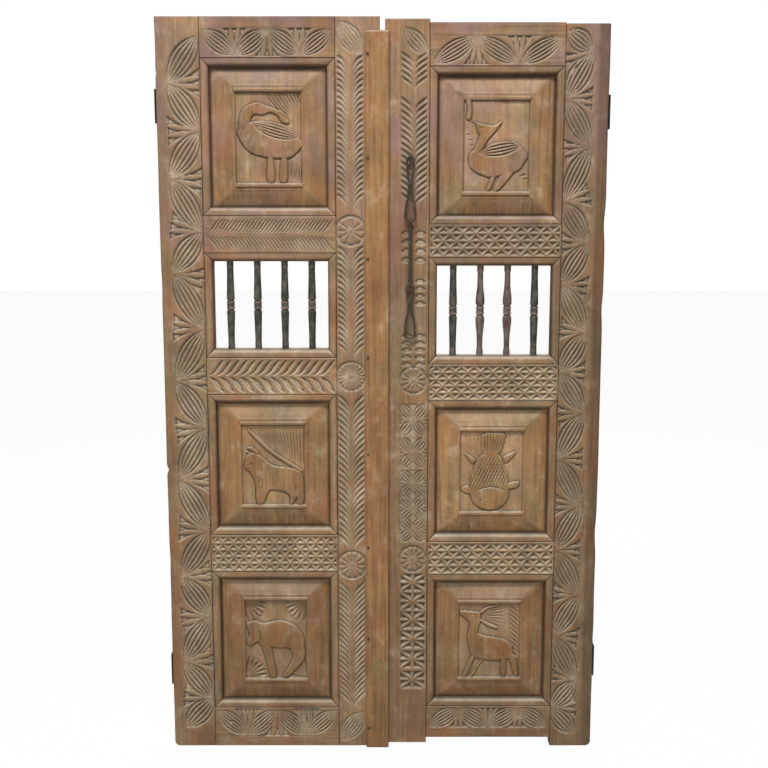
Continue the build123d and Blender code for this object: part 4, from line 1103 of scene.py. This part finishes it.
def ibex():
    """An ibex with two beaded horns, before a tall frond."""
    body = [(-84, 187), (-82, 200), (-56, 197), (-25, 194), (-25, 166), (-35, 135), (-21, 124)]
    body += [(17, 119), (51, 111), (68, 90), (68, 56), (17, 48), (-11, 52), (-49, 59), (-56, 90)]
    body += [(-63, 121), (-53, 159), (-66, 176)]
    legs = [[(-49, 64), (-77, 0), (-63, 0), (-38, 64)], [(-14, 60), (-56, 0), (-46, 0), (-28, 38), (-6, 60)]]
    legs += [[(34, 56), (37, 0), (48, 0), (50, 56)], [(56, 64), (75, 0), (84, 0), (79, 50), (68, 72)]]
    horns = [[(-28, 194), (-8, 210), (30, 218), (30, 213), (-4, 205), (-22, 188)]]
    horns += [[(-26, 176), (-4, 160), (26, 149), (22, 142), (-8, 154), (-28, 168)]]
    marks = strokes(8, (-20, 192), (7, 2.4), (-24, 204), (7, 2), 3.2)
    marks += strokes(7, (-22, 164), (7, -3.4), (-16, 178), (7, -4), 3.2)
    marks += stroke((-52, 188), (-44, 187), 4)
    marks += stroke((-84, 191), (-62, 184), 3.5)
    marks += strokes(2, (-44, 60), (86, 0), (-34, 84), (76, 0), 4, 3)
    behind = strokes(6, (-14, 190), (0, -4), (48, 207), (-2, -12), 5.2)
    behind += strokes(14, (54, 217), (0.6, -13.5), (88, 186), (0, -13.2), 6.4)
    return [], [body] + legs + horns, marks, behind


PICTURES = {
    ("left", "upper_panel"): goose,
    ("right", "upper_panel"): crested_bird,
    ("left", "middle_panel"): lion,
    ("right", "middle_panel"): fish,
    ("left", "lower_panel"): elephant,
    ("right", "lower_panel"): ibex,
}


def rounded_outline(outline, share=6):
    """A smooth closed curve through an outline's points."""
    points = np.array(outline, float)
    before, after, beyond = np.roll(points, 1, 0), np.roll(points, -1, 0), np.roll(points, -2, 0)
    curve = []
    for p0, p1, p2, p3 in zip(before, points, after, beyond):
        for t in np.arange(share) / share:
            curve.append(
                0.5 * (2 * p1 + (p2 - p0) * t + (2 * p0 - 5 * p1 + 4 * p2 - p3) * t**2)
                + 0.5 * (3 * p1 - p0 - 3 * p2 + p3) * t**3
            )
    return np.array(curve)


def softened_outline(outline, share=0.2):
    """An outline with its corners cut back twice."""
    points = np.array(outline, float)
    for _ in range(2):
        after = np.roll(points, -1, 0)
        pair = (points * (1 - share) + after * share, points * share + after * (1 - share))
        points = np.stack(pair, axis=1).reshape(-1, 2)
    return points


def inside_distance(outline, x, z):
    """How far each point lies inside an outline; negative outside."""
    distance = np.full((z.size, x.size), 1e9)
    inside = np.zeros(distance.shape, bool)
    for (x0, z0), (x1, z1) in zip(outline, np.roll(outline, -1, 0)):
        distance = np.minimum(distance, from_line(x, z, (x0, z0), (x1, z1))[1])
        if z0 != z1:
            inside ^= ((z0 > z) != (z1 > z)) & (x < x0 + (z - z0) * (x1 - x0) / (z1 - z0))
    return np.where(inside, distance, -distance)


# A panel's sizes in millimetres; sinks are depths below the leaf's face
BEVEL_SIDE = 60.0
BEVEL_HEAD = 48.0
TONGUE_SINK = 18.0
FIELD_SINK = 5.0
GROUND_SINK = 9.0
GROUND_SIDE = 67.0
GROUND_HEAD = 64.0
LEDGE_HEIGHT = 11.0
LEDGE_PROUD = 3.8
LEDGE_ROUND = 2.4
RELIEF = 4.4
RELIEF_ROUND = 5.0
BEVEL_LIP = 4.0
BEAD = 2.6
MOAT = 2.5


def scratched(board, middle, foot, paths):
    """The depths of a picture's strokes over a board."""
    marks = {"x": board["x"], "z": board["z"], "cut": np.zeros(board["cut"].shape)}
    for path, width in paths:
        groove(marks, path + np.array((middle, foot)), width)
    return marks["cut"]


def bevelled_depth(x, z, opening):
    """The depths of a panel's field and of the bevels that fall from it to the tongue."""
    x0, x1, z0, z1 = opening
    from_side = (np.minimum(x - x0, x1 - x) - BEVEL_LIP) / (BEVEL_SIDE - BEVEL_LIP)
    from_head = (np.minimum(z - z0, z1 - z) - BEVEL_LIP) / (BEVEL_HEAD - BEVEL_LIP)
    slope = np.clip(np.minimum(from_side, from_head), 0, 1)
    return TONGUE_SINK - (TONGUE_SINK - FIELD_SINK) * slope


def standing_forms(outlines, x, z):
    """How high forms stand above their ground, and how far each point lies inside one of them."""
    height = np.zeros((z.size, x.size))
    nearest = np.full(height.shape, -99.0)
    for outline in outlines:
        within = inside_distance(outline, x, z)
        nearest = np.maximum(nearest, within)
        rise = RELIEF * np.sqrt(1 - (1 - np.clip((within + 0.5) / RELIEF_ROUND, 0, 1)) ** 2)
        height = np.maximum(height, rise + np.clip(within, 0, 26) * 0.045)
    return height, nearest


def panel_board(prefix, name, opening):
    """A fielded panel with a sunk picture between two ledges."""
    carved, plain = in_mm("picture_step"), in_mm("plain_step")
    x0, x1, z0, z1 = opening
    ground_x = (x0 + GROUND_SIDE, x1 - GROUND_SIDE)
    ground_z = (z0 + GROUND_HEAD, z1 - GROUND_HEAD)
    xs = segmented(x0 - 1, (x0 + 52, plain), (x1 - 52, carved), (x1 + 1, plain))
    zs = segmented(z0 - 1, (z0 + 40, plain), (z1 - 40, carved), (z1 + 1, plain))
    board = new_board(xs, zs)
    x, z = board["x"][None, :], board["z"][:, None]
    beside = np.minimum(x - ground_x[0], ground_x[1] - x)
    within = np.minimum(z - ground_z[0], ground_z[1] - z)
    inside = np.minimum(beside, within)
    bead = fading(np.abs(beside + BEAD), BEAD) * (within > 0)
    depth = bevelled_depth(x, z, opening) - bead * 1.2
    middle, foot = sum(ground_x) / 2, ground_z[0]
    round_forms, straight_forms, marks, behind = PICTURES[prefix, name]()
    ground = FIELD_SINK + (GROUND_SINK - FIELD_SINK) * np.clip(inside / 1.6, 0, 1)
    depth = np.where(inside > 0, ground + 0.8 * scratched(board, middle, foot, behind), depth)
    outlines = [rounded_outline(form) for form in round_forms]
    outlines += [softened_outline(form) for form in straight_forms]
    height, nearest = standing_forms([outline + (middle, foot) for outline in outlines], x, z)
    moat = fading(np.abs(nearest + MOAT), MOAT) * (inside > 1)
    depth = depth + moat
    standing = nearest > -0.5
    depth = np.where(standing, np.minimum(depth, GROUND_SINK - height), depth)
    depth = depth + np.where(nearest > 0.5, scratched(board, middle, foot, marks), 0)
    for edge_z, upward in ((ground_z[0], -1), (ground_z[1], 1)):
        rise = np.minimum((z - edge_z) * upward, LEDGE_HEIGHT - (z - edge_z) * upward)
        rise = np.minimum(rise, np.minimum(x - ground_x[0] + 3, ground_x[1] + 3 - x))
        ledge = np.clip(rise / LEDGE_ROUND, 0, 1)
        # The crested bird's stem passes where the left part of its upper ledge would be
        if upward > 0 and (prefix, name) == ("right", "upper_panel"):
            ledge = ledge * np.clip((x - middle - 4) / 4, 0.1, 1)
        depth = np.where(ledge > 0, np.minimum(depth, FIELD_SINK - LEDGE_PROUD * np.sqrt(ledge)), depth)
    board["cut"] = depth
    return board


def make_panels(prefix):
    """Builds a leaf's three carved panels."""
    lines = leaf_lines(prefix)
    for name in OPENINGS:
        if (prefix, name) not in PICTURES:
            continue
        node_name = f"{prefix}_{name}"
        _, high = mm_box(node_name)
        opening = lines["openings"][name]
        board = panel_board(prefix, name, opening)
        fields = relief_fields(board)
        x = np.broadcast_to(board["x"][None, :], board["cut"].shape)
        z = np.broadcast_to(board["z"][:, None], board["cut"].shape)
        seed = 20 + OPENINGS.index(name) + (7 if prefix == "right" else 0)
        lift = waves(board, 60, 120, seed) * 0.3 + waves(board, 8, 30, seed + 40) * 0.22
        y = lines["face"] + board["cut"] + 0.4 + lift
        border = np.minimum(
            np.minimum(x - opening[0], opening[1] - x),
            np.minimum(z - opening[2], opening[3] - z),
        )
        fields["hollow"] = np.clip((board["cut"] - GROUND_SINK + 1.2) / 2.4, 0, 0.34) * (border > 50)
        # Painted shade along the panel's edges, under the moulding
        fields["dirt_and_shade"] = np.clip(fields["dirt_and_shade"] * 0.9 + fading(border, 6) * 0.9, 0, 1)
        piece = joined(f"carved_{node_name}", [closed_grid(x, y, z, high[1], fields)])
        hand_over(piece, node_name, f"{prefix}_leaf", finish_named("fielded hardwood"))


# Spindles, strip and chain


def closed_sweep(points, fill):
    """A mesh through rows of points whose last column meets its first; open ends are filled."""
    rows, columns, _ = points.shape
    deselect()
    bpy.ops.mesh.primitive_grid_add(x_subdivisions=columns - 1, y_subdivisions=rows - 1, size=1)
    piece = bpy.context.object
    piece.data.vertices.foreach_set("co", (points.reshape(-1, 3) * MM).ravel())
    bpy.ops.object.mode_set(mode="EDIT")
    bpy.ops.mesh.select_all(action="SELECT")
    bpy.ops.mesh.remove_doubles(threshold=0.00001)
    if fill:
        bpy.ops.mesh.fill_holes(sides=0)
    bpy.ops.object.mode_set(mode="OBJECT")
    return piece


def turned(x, y, profile, sides=28):
    """A turned piece on an upright axis, from its profile of heights and radii."""
    angles = np.linspace(0, 2 * math.pi, sides + 1)
    points = np.empty((len(profile), sides + 1, 3))
    for i, (z, radius) in enumerate(profile):
        points[i, :, 0] = x + radius * np.cos(angles)
        points[i, :, 1] = y + radius * np.sin(angles)
        points[i, :, 2] = z
    points[:, -1] = points[:, 0]
    return closed_sweep(points, True)


def spindle_profile(low, high, belly, number, bulbous):
    """A spindle's heights and radii: a ringed collar, a neck, a belly, half a bead, and their mirror."""
    middle = (low + high) / 2
    random = np.random.default_rng(number)
    neck_z, belly_z = low + 22.5, middle - 19
    neck, tuck = (7.8, 0.86) if bulbous else (8.8, 0.94)
    collar = ((0, 9.0), (1.2, 9.4), (13, 9.4), (14, 8.5), (15, 9.4), (21, 9.3), (22.5, neck + 0.2))
    half = [(low + rise, radius) for rise, radius in collar]
    for share in np.linspace(0.06, 1, 14):
        swell = hump(share, 0.93, 0.36) if bulbous else share**1.3
        radius = neck + (belly - 0.1 - neck) * swell
        half.append((neck_z + (belly_z - neck_z) * share, radius + random.uniform(-0.12, 0.05)))
    bead = ((16, belly * tuck), (13.5, belly * (tuck - 0.12)), (12, 8.5), (11.2, 8.5))
    bead += ((10.4, 10.4), (9, 11.3), (6.4, 11.3), (5.4, 10.0), (1, 10.6))
    half += [(middle - drop, radius) for drop, radius in bead]
    return half + [(low + high - z, radius) for z, radius in reversed(half)]


def make_spindles(prefix):
    """Turns a leaf's four spindles."""
    rails = leaf_lines(prefix)["rails"]
    foot, head = rails["sill_rail"][1], rails["frieze_rail"][0]
    middle = (foot + head) / 2
    for number in range(1, 5):
        node_name = f"{prefix}_spindle_{number}"
        low, high = mm_box(node_name)
        brown = prefix == "right" and number in (2, 3)
        belly = (high[0] - low[0]) / 2 - (0.05 if brown else 0.3)
        profile = spindle_profile(foot - 6, head + 6, belly, number, brown)
        piece = turned((low[0] + high[0]) / 2, (low[1] + high[1]) / 2, profile)
        places = np.empty(len(piece.data.vertices) * 3)
        piece.data.vertices.foreach_get("co", places)
        from_middle = np.abs(places.reshape(-1, 3)[:, 2] / MM - middle)
        crest = hump(from_middle, 7.7, 2.0) * 0.9 + hump(from_middle, middle - foot - 12, 3) * 0.8
        set_field(piece.data, "crest", crest)
        set_field(piece.data, "hollow", hump(from_middle, 11.6, 1.2) * 0.8)
        piece = joined(f"turned_{node_name}", [piece])
        finish = finish_named("turned bare hardwood" if brown else "brushed oil paint")
        hand_over(piece, node_name, f"{prefix}_leaf", finish)


def make_cover_strip():
    """Planes the strip that covers the gap, with its worn edges and its crack."""
    low, high = mm_box("cover_strip")
    board = new_board(segmented(low[0], (high[0], 2.6)), segmented(low[2], (high[2], 6.0)))
    # A crack that rises from the foot, and a scratch near the head
    groove(board, [(6, 0), (7, 60), (5, 130), (8, 190)], 3.2, skew=0.6, limit=4)
    groove(board, [(-20, 1620), (-19, 1700), (-21, 1800)], 1.8, limit=2)

    def worn(x, y, z, dirt_and_shade):
        """Rounds both long edges and lightens the dirt and painted shade along them."""
        distance = np.minimum(x - low[0], high[0] - x)
        y += fading(distance, 5) ** 2 * 2.2
        dirt_and_shade *= np.where(distance < 1, 0.3, 1)

    piece = board_piece(board, low[1], high[1] - 0.2, worn)
    piece = joined("planed_cover_strip", [piece])
    hand_over(piece, "cover_strip", "left_leaf", finish_named("planed strip hardwood"))


# How round a forged bar's section is: 1 is a circle, 0 is a square
ROUNDNESS = 0.62


def swept(path, lift, thick, deep, loop, sides=12):
    """A forged bar along a flat path; lift is the direction square to the path's plane."""
    path = np.array(path, float)
    if loop:
        tangents = np.roll(path, -1, 0) - np.roll(path, 1, 0)
        path = np.concatenate((path, path[:1]))
        tangents = np.concatenate((tangents, tangents[:1]))
    else:
        tangents = np.gradient(path, axis=0)
    tangents /= np.linalg.norm(tangents, axis=1)[:, None]
    lift = np.array(lift, float)
    aside = np.cross(tangents, lift)
    angles = np.linspace(0, 2 * math.pi, sides + 1)
    across = np.sign(np.cos(angles)) * np.abs(np.cos(angles)) ** ROUNDNESS
    upward = np.sign(np.sin(angles)) * np.abs(np.sin(angles)) ** ROUNDNESS
    thick = np.broadcast_to(thick, (len(path),))
    deep = np.broadcast_to(deep, (len(path),))
    points = path[:, None, :] + aside[:, None, :] * (across[None, :] * thick[:, None])[..., None]
    points = points + lift * (upward[None, :] * deep[:, None])[..., None]
    points[:, -1] = points[:, 0]
    if loop:
        points[-1] = points[0]
    return closed_sweep(points, not loop)


# In millimetres, in the chain's links: a bar's width and half its forged width, and inner radii
BAR = 6.0
HALF_BAR = 2.8
EYE_MIDDLE = 6.8
TOP_RADIUS = 6.5
LOOP_RADIUS = 11.0
NECK = 3.4


def eased(start, end, share):
    """Between two values, with a smooth start and end."""
    return start + (end - start) * share * share * (3 - 2 * share)


def link_path(top_z, length, neck_share, x, y):
    """The middle line of a pinched link, round from its top."""
    upper, lower = TOP_RADIUS + BAR / 2, LOOP_RADIUS + BAR / 2
    top = top_z - BAR / 2 - TOP_RADIUS
    loop = top_z - length + lower
    neck = top + (loop - top) * neck_share
    right = [(upper * math.sin(a), top + upper * math.cos(a)) for a in np.linspace(0, 1.75, 9)]
    for share in np.linspace(0.15, 0.85, 5):
        right.append((eased(upper * 0.95, NECK, share), top - 3 + (neck - top + 3) * share))
    for share in np.linspace(0, 0.85, 8):
        right.append((eased(NECK, lower * 0.97, share), neck + (loop + 3 - neck) * share))
    right += [(lower * math.cos(a), loop + lower * math.sin(a)) for a in np.linspace(0.1, -math.pi / 2, 9)]
    flat = right + [(-px, pz) for px, pz in reversed(right[1:-1])]
    return [(x + px, y, pz) for px, pz in flat]


def staple_bar(x, y, z, leg):
    """The staple: from a leg's depth out round half a turn of its eye, and back to that depth."""
    top, bottom = z + EYE_MIDDLE, z - EYE_MIDDLE
    turns = np.linspace(0, math.pi, 15)
    crown = [(x, y - EYE_MIDDLE * math.sin(a), z + EYE_MIDDLE * math.cos(a)) for a in turns]
    half_leg = leg / 2 + y / 2
    path = [(x, leg, top), (x, half_leg, top), *crown, (x, half_leg, bottom), (x, leg, bottom)]
    return swept(path, (1, 0, 0), 2.85, 2.85, False)


def straight_link(x, y, top, foot):
    """A link of an eye at its top, an eye at its foot and a rod that thickens towards both."""
    parts = []
    turns = np.linspace(0, 2 * math.pi, 25)[:-1]
    for z in (top, foot):
        ring = [(x, y + EYE_MIDDLE * math.cos(a), z + EYE_MIDDLE * math.sin(a)) for a in turns]
        parts.append(swept(ring, (1, 0, 0), HALF_BAR, HALF_BAR, True))
    rod = [(x, y, z) for z in np.linspace(top - EYE_MIDDLE, foot + EYE_MIDDLE, 24)]
    share = np.linspace(-1, 1, 24)
    parts.append(swept(rod, (0, 1, 0), 3.9 + 1.6 * share**4, 3.1 + 0.2 * share**2, False))
    return parts


def make_chain():
    """Forges the staple and the three links of the chain."""
    staple_low, staple_high = mm_box("chain_staple")
    x = (staple_low[0] + staple_high[0]) / 2
    y = staple_low[1] + EYE_MIDDLE + BAR / 2
    staple_z = (staple_low[2] + staple_high[2]) / 2
    link_2_low, link_2_high = mm_box("chain_link_2")
    link_3_low, _ = mm_box("chain_link_3")
    link_2_top = link_2_high[2] - EYE_MIDDLE - BAR / 2
    link_3_top = link_2_low[2] + EYE_MIDDLE + BAR / 2
    link_3_length = link_3_top - link_3_low[2] - BAR / 2
    first = link_path(staple_z, staple_z - link_2_top, 0.45, x, y)
    third = link_path(link_3_top, link_3_length, 0.3, x, y)
    made = {
        "chain_staple": [staple_bar(x, y, staple_z, staple_high[1] - 0.2)],
        "chain_link_1": [swept(first, (0, 1, 0), HALF_BAR, HALF_BAR, True)],
        "chain_link_3": [swept(third, (0, 1, 0), HALF_BAR, HALF_BAR, True)],
        "chain_link_2": straight_link(x, y, link_2_top, link_3_top),
    }
    for node_name, parts in made.items():
        body = "right_leaf" if node_name == "chain_staple" else node_name
        piece = joined(f"forged_{node_name}", parts)
        hand_over(piece, node_name, body, finish_named("forged iron"))


def finish_cad_nodes():
    """Gives the frame's own hinges, pins, nails and pegs their finishes."""
    for name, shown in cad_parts.items():
        wooden = name.endswith("pegs")
        if wooden or any(word in name for word in ("flap", "hinge_pin", "nails")):
            material = finish_named("planed hardwood upright" if wooden else "forged iron")
            for holder in shown.material_slots:
                holder.material = material


# Each light's name, place, aim, size and power
LIGHTS = (
    ("key_light", (-0.35, -2.05, 4.7), (0.0, 0.0, 0.85), (1.8, 0.7), 175),
    ("front_light", (-1.3, -4.2, 0.9), (0.0, 0.0, 0.6), (2.4, 1.6), 34),
    ("back_light", (0.6, 3.4, 3.4), (0.0, 0.0, 1.0), (2.4, 2.0), 110),
)
CAMERA_PLACE = (0.004, -3.467, 1.67)
CAMERA_PITCH = math.radians(80)
CAMERA_LENS = 59.8
WHITE = (1, 1, 1, 1)


def make_floor():
    """A pale floor that the camera sees almost as white as the surroundings."""
    material = bpy.data.materials.new("pale floor")
    tree = emptied(material)
    surface = new_node(tree, "ShaderNodeBsdfDiffuse", {"Color": linear("#f2f0ec")})
    glow = new_node(tree, "ShaderNodeEmission", {"Color": WHITE, "Strength": 1.0})
    seen = new_node(tree, "ShaderNodeLightPath").outputs["Is Camera Ray"]
    inputs = {0: share_of(tree, (seen, 0, 1, 0, 0.95)), 1: surface.outputs[0], 2: glow.outputs[0]}
    both = new_node(tree, "ShaderNodeMixShader", inputs)
    new_node(tree, "ShaderNodeOutputMaterial", {"Surface": both.outputs[0]})
    bpy.ops.mesh.primitive_plane_add(size=1, location=(0, 3, -0.0006))
    floor = bpy.context.object
    floor.name = "floor"
    floor.scale = (24, 20, 1)
    floor.data.materials.append(material)
    return floor


def make_light(name, place, aim, size, power):
    bpy.ops.object.light_add(type="AREA", location=place)
    light = bpy.context.object
    light.name = name
    light.data.shape = "RECTANGLE"
    light.data.size, light.data.size_y = size
    light.data.energy = power
    across, ahead, up = np.array(aim) - np.array(place)
    light.rotation_euler = (math.atan2(math.hypot(across, ahead), -up), 0, math.atan2(-across, ahead))
    return light


def make_stage():
    """Sets up the floor, the white surroundings, the lights and the camera."""
    scene = bpy.context.scene
    stage = [make_floor()] + [make_light(*light) for light in LIGHTS]
    scene.world = bpy.data.worlds.new("white surroundings")
    tree = emptied(scene.world)
    seen = new_node(tree, "ShaderNodeLightPath").outputs["Is Camera Ray"]
    soft = new_node(tree, "ShaderNodeBackground", {"Color": WHITE, "Strength": 0.22})
    white = new_node(tree, "ShaderNodeBackground", {"Color": WHITE, "Strength": 1.0})
    both = new_node(tree, "ShaderNodeMixShader", {0: seen, 1: soft.outputs[0], 2: white.outputs[0]})
    new_node(tree, "ShaderNodeOutputWorld", {"Surface": both.outputs[0]})
    bpy.ops.object.camera_add(location=CAMERA_PLACE, rotation=(CAMERA_PITCH, 0, 0))
    camera = bpy.context.object
    camera.name = "camera"
    camera.data.lens = CAMERA_LENS
    camera.data.sensor_width = 36
    camera.data.clip_end = 100
    scene.camera = camera
    scene.view_settings.view_transform = "Standard"


# Operators and panel


class CARVEDDOOR_OT_frames(bpy.types.Operator):
    """Carve the stiles and rails of both leaves"""

    bl_idname = "carved_door.frames"
    bl_label = "Carve frames"

    def execute(self, context):
        for prefix in SIDES:
            make_stiles_and_rails(prefix)
        return {"FINISHED"}


class CARVEDDOOR_OT_panels(bpy.types.Operator):
    """Carve the pictures in the panels"""

    bl_idname = "carved_door.panels"
    bl_label = "Carve panels"

    def execute(self, context):
        for prefix in SIDES:
            make_panels(prefix)
        return {"FINISHED"}


class CARVEDDOOR_OT_spindles(bpy.types.Operator):
    """Turn the spindles of both grilles"""

    bl_idname = "carved_door.spindles"
    bl_label = "Turn spindles"

    def execute(self, context):
        for prefix in SIDES:
            make_spindles(prefix)
        return {"FINISHED"}


class CARVEDDOOR_OT_cover_strip(bpy.types.Operator):
    """Plane the strip over the gap between the leaves"""

    bl_idname = "carved_door.cover_strip"
    bl_label = "Plane cover strip"

    def execute(self, context):
        make_cover_strip()
        return {"FINISHED"}


class CARVEDDOOR_OT_chain(bpy.types.Operator):
    """Forge the staple and the links of the chain"""

    bl_idname = "carved_door.chain"
    bl_label = "Forge chain"

    def execute(self, context):
        make_chain()
        return {"FINISHED"}


class CARVEDDOOR_OT_fittings(bpy.types.Operator):
    """Finish the hinges, nails and pegs"""

    bl_idname = "carved_door.fittings"
    bl_label = "Finish fittings"

    def execute(self, context):
        finish_cad_nodes()
        return {"FINISHED"}


class CARVEDDOOR_OT_stage(bpy.types.Operator):
    """Set up the floor, the lights and the camera"""

    bl_idname = "carved_door.stage"
    bl_label = "Set up stage"

    def execute(self, context):
        make_stage()
        return {"FINISHED"}


OPERATORS = (
    CARVEDDOOR_OT_frames,
    CARVEDDOOR_OT_panels,
    CARVEDDOOR_OT_spindles,
    CARVEDDOOR_OT_cover_strip,
    CARVEDDOOR_OT_chain,
    CARVEDDOOR_OT_fittings,
    CARVEDDOOR_OT_stage,
)


class CARVEDDOOR_PT_sidebar(bpy.types.Panel):
    """Sizes, colours and steps of the carved door"""

    bl_idname = "CARVEDDOOR_PT_sidebar"
    bl_label = "Carved door"
    bl_space_type = "VIEW_3D"
    bl_region_type = "UI"
    bl_category = "Carved door"

    def draw(self, context):
        for group in (context.scene.carved_door_sizes, context.scene.carved_door_colours):
            for name in group.bl_rna.properties.keys():
                if name not in ("rna_type", "name"):
                    self.layout.prop(group, name)
        for operator in OPERATORS:
            self.layout.operator(operator.bl_idname)


CLASSES = (CarvedDoorSizes, CarvedDoorColours, *OPERATORS, CARVEDDOOR_PT_sidebar)


def register():
    for kind in CLASSES:
        bpy.utils.register_class(kind)
    bpy.types.Scene.carved_door_sizes = bpy.props.PointerProperty(type=CarvedDoorSizes)
    bpy.types.Scene.carved_door_colours = bpy.props.PointerProperty(type=CarvedDoorColours)


def unregister():
    del bpy.types.Scene.carved_door_colours
    del bpy.types.Scene.carved_door_sizes
    for kind in reversed(CLASSES):
        bpy.utils.unregister_class(kind)


def main():
    register()
    bpy.ops.carved_door.frames()
    bpy.ops.carved_door.panels()
    bpy.ops.carved_door.spindles()
    bpy.ops.carved_door.cover_strip()
    bpy.ops.carved_door.chain()
    bpy.ops.carved_door.fittings()
    bpy.ops.carved_door.stage()


if __name__ == "__main__":
    main()
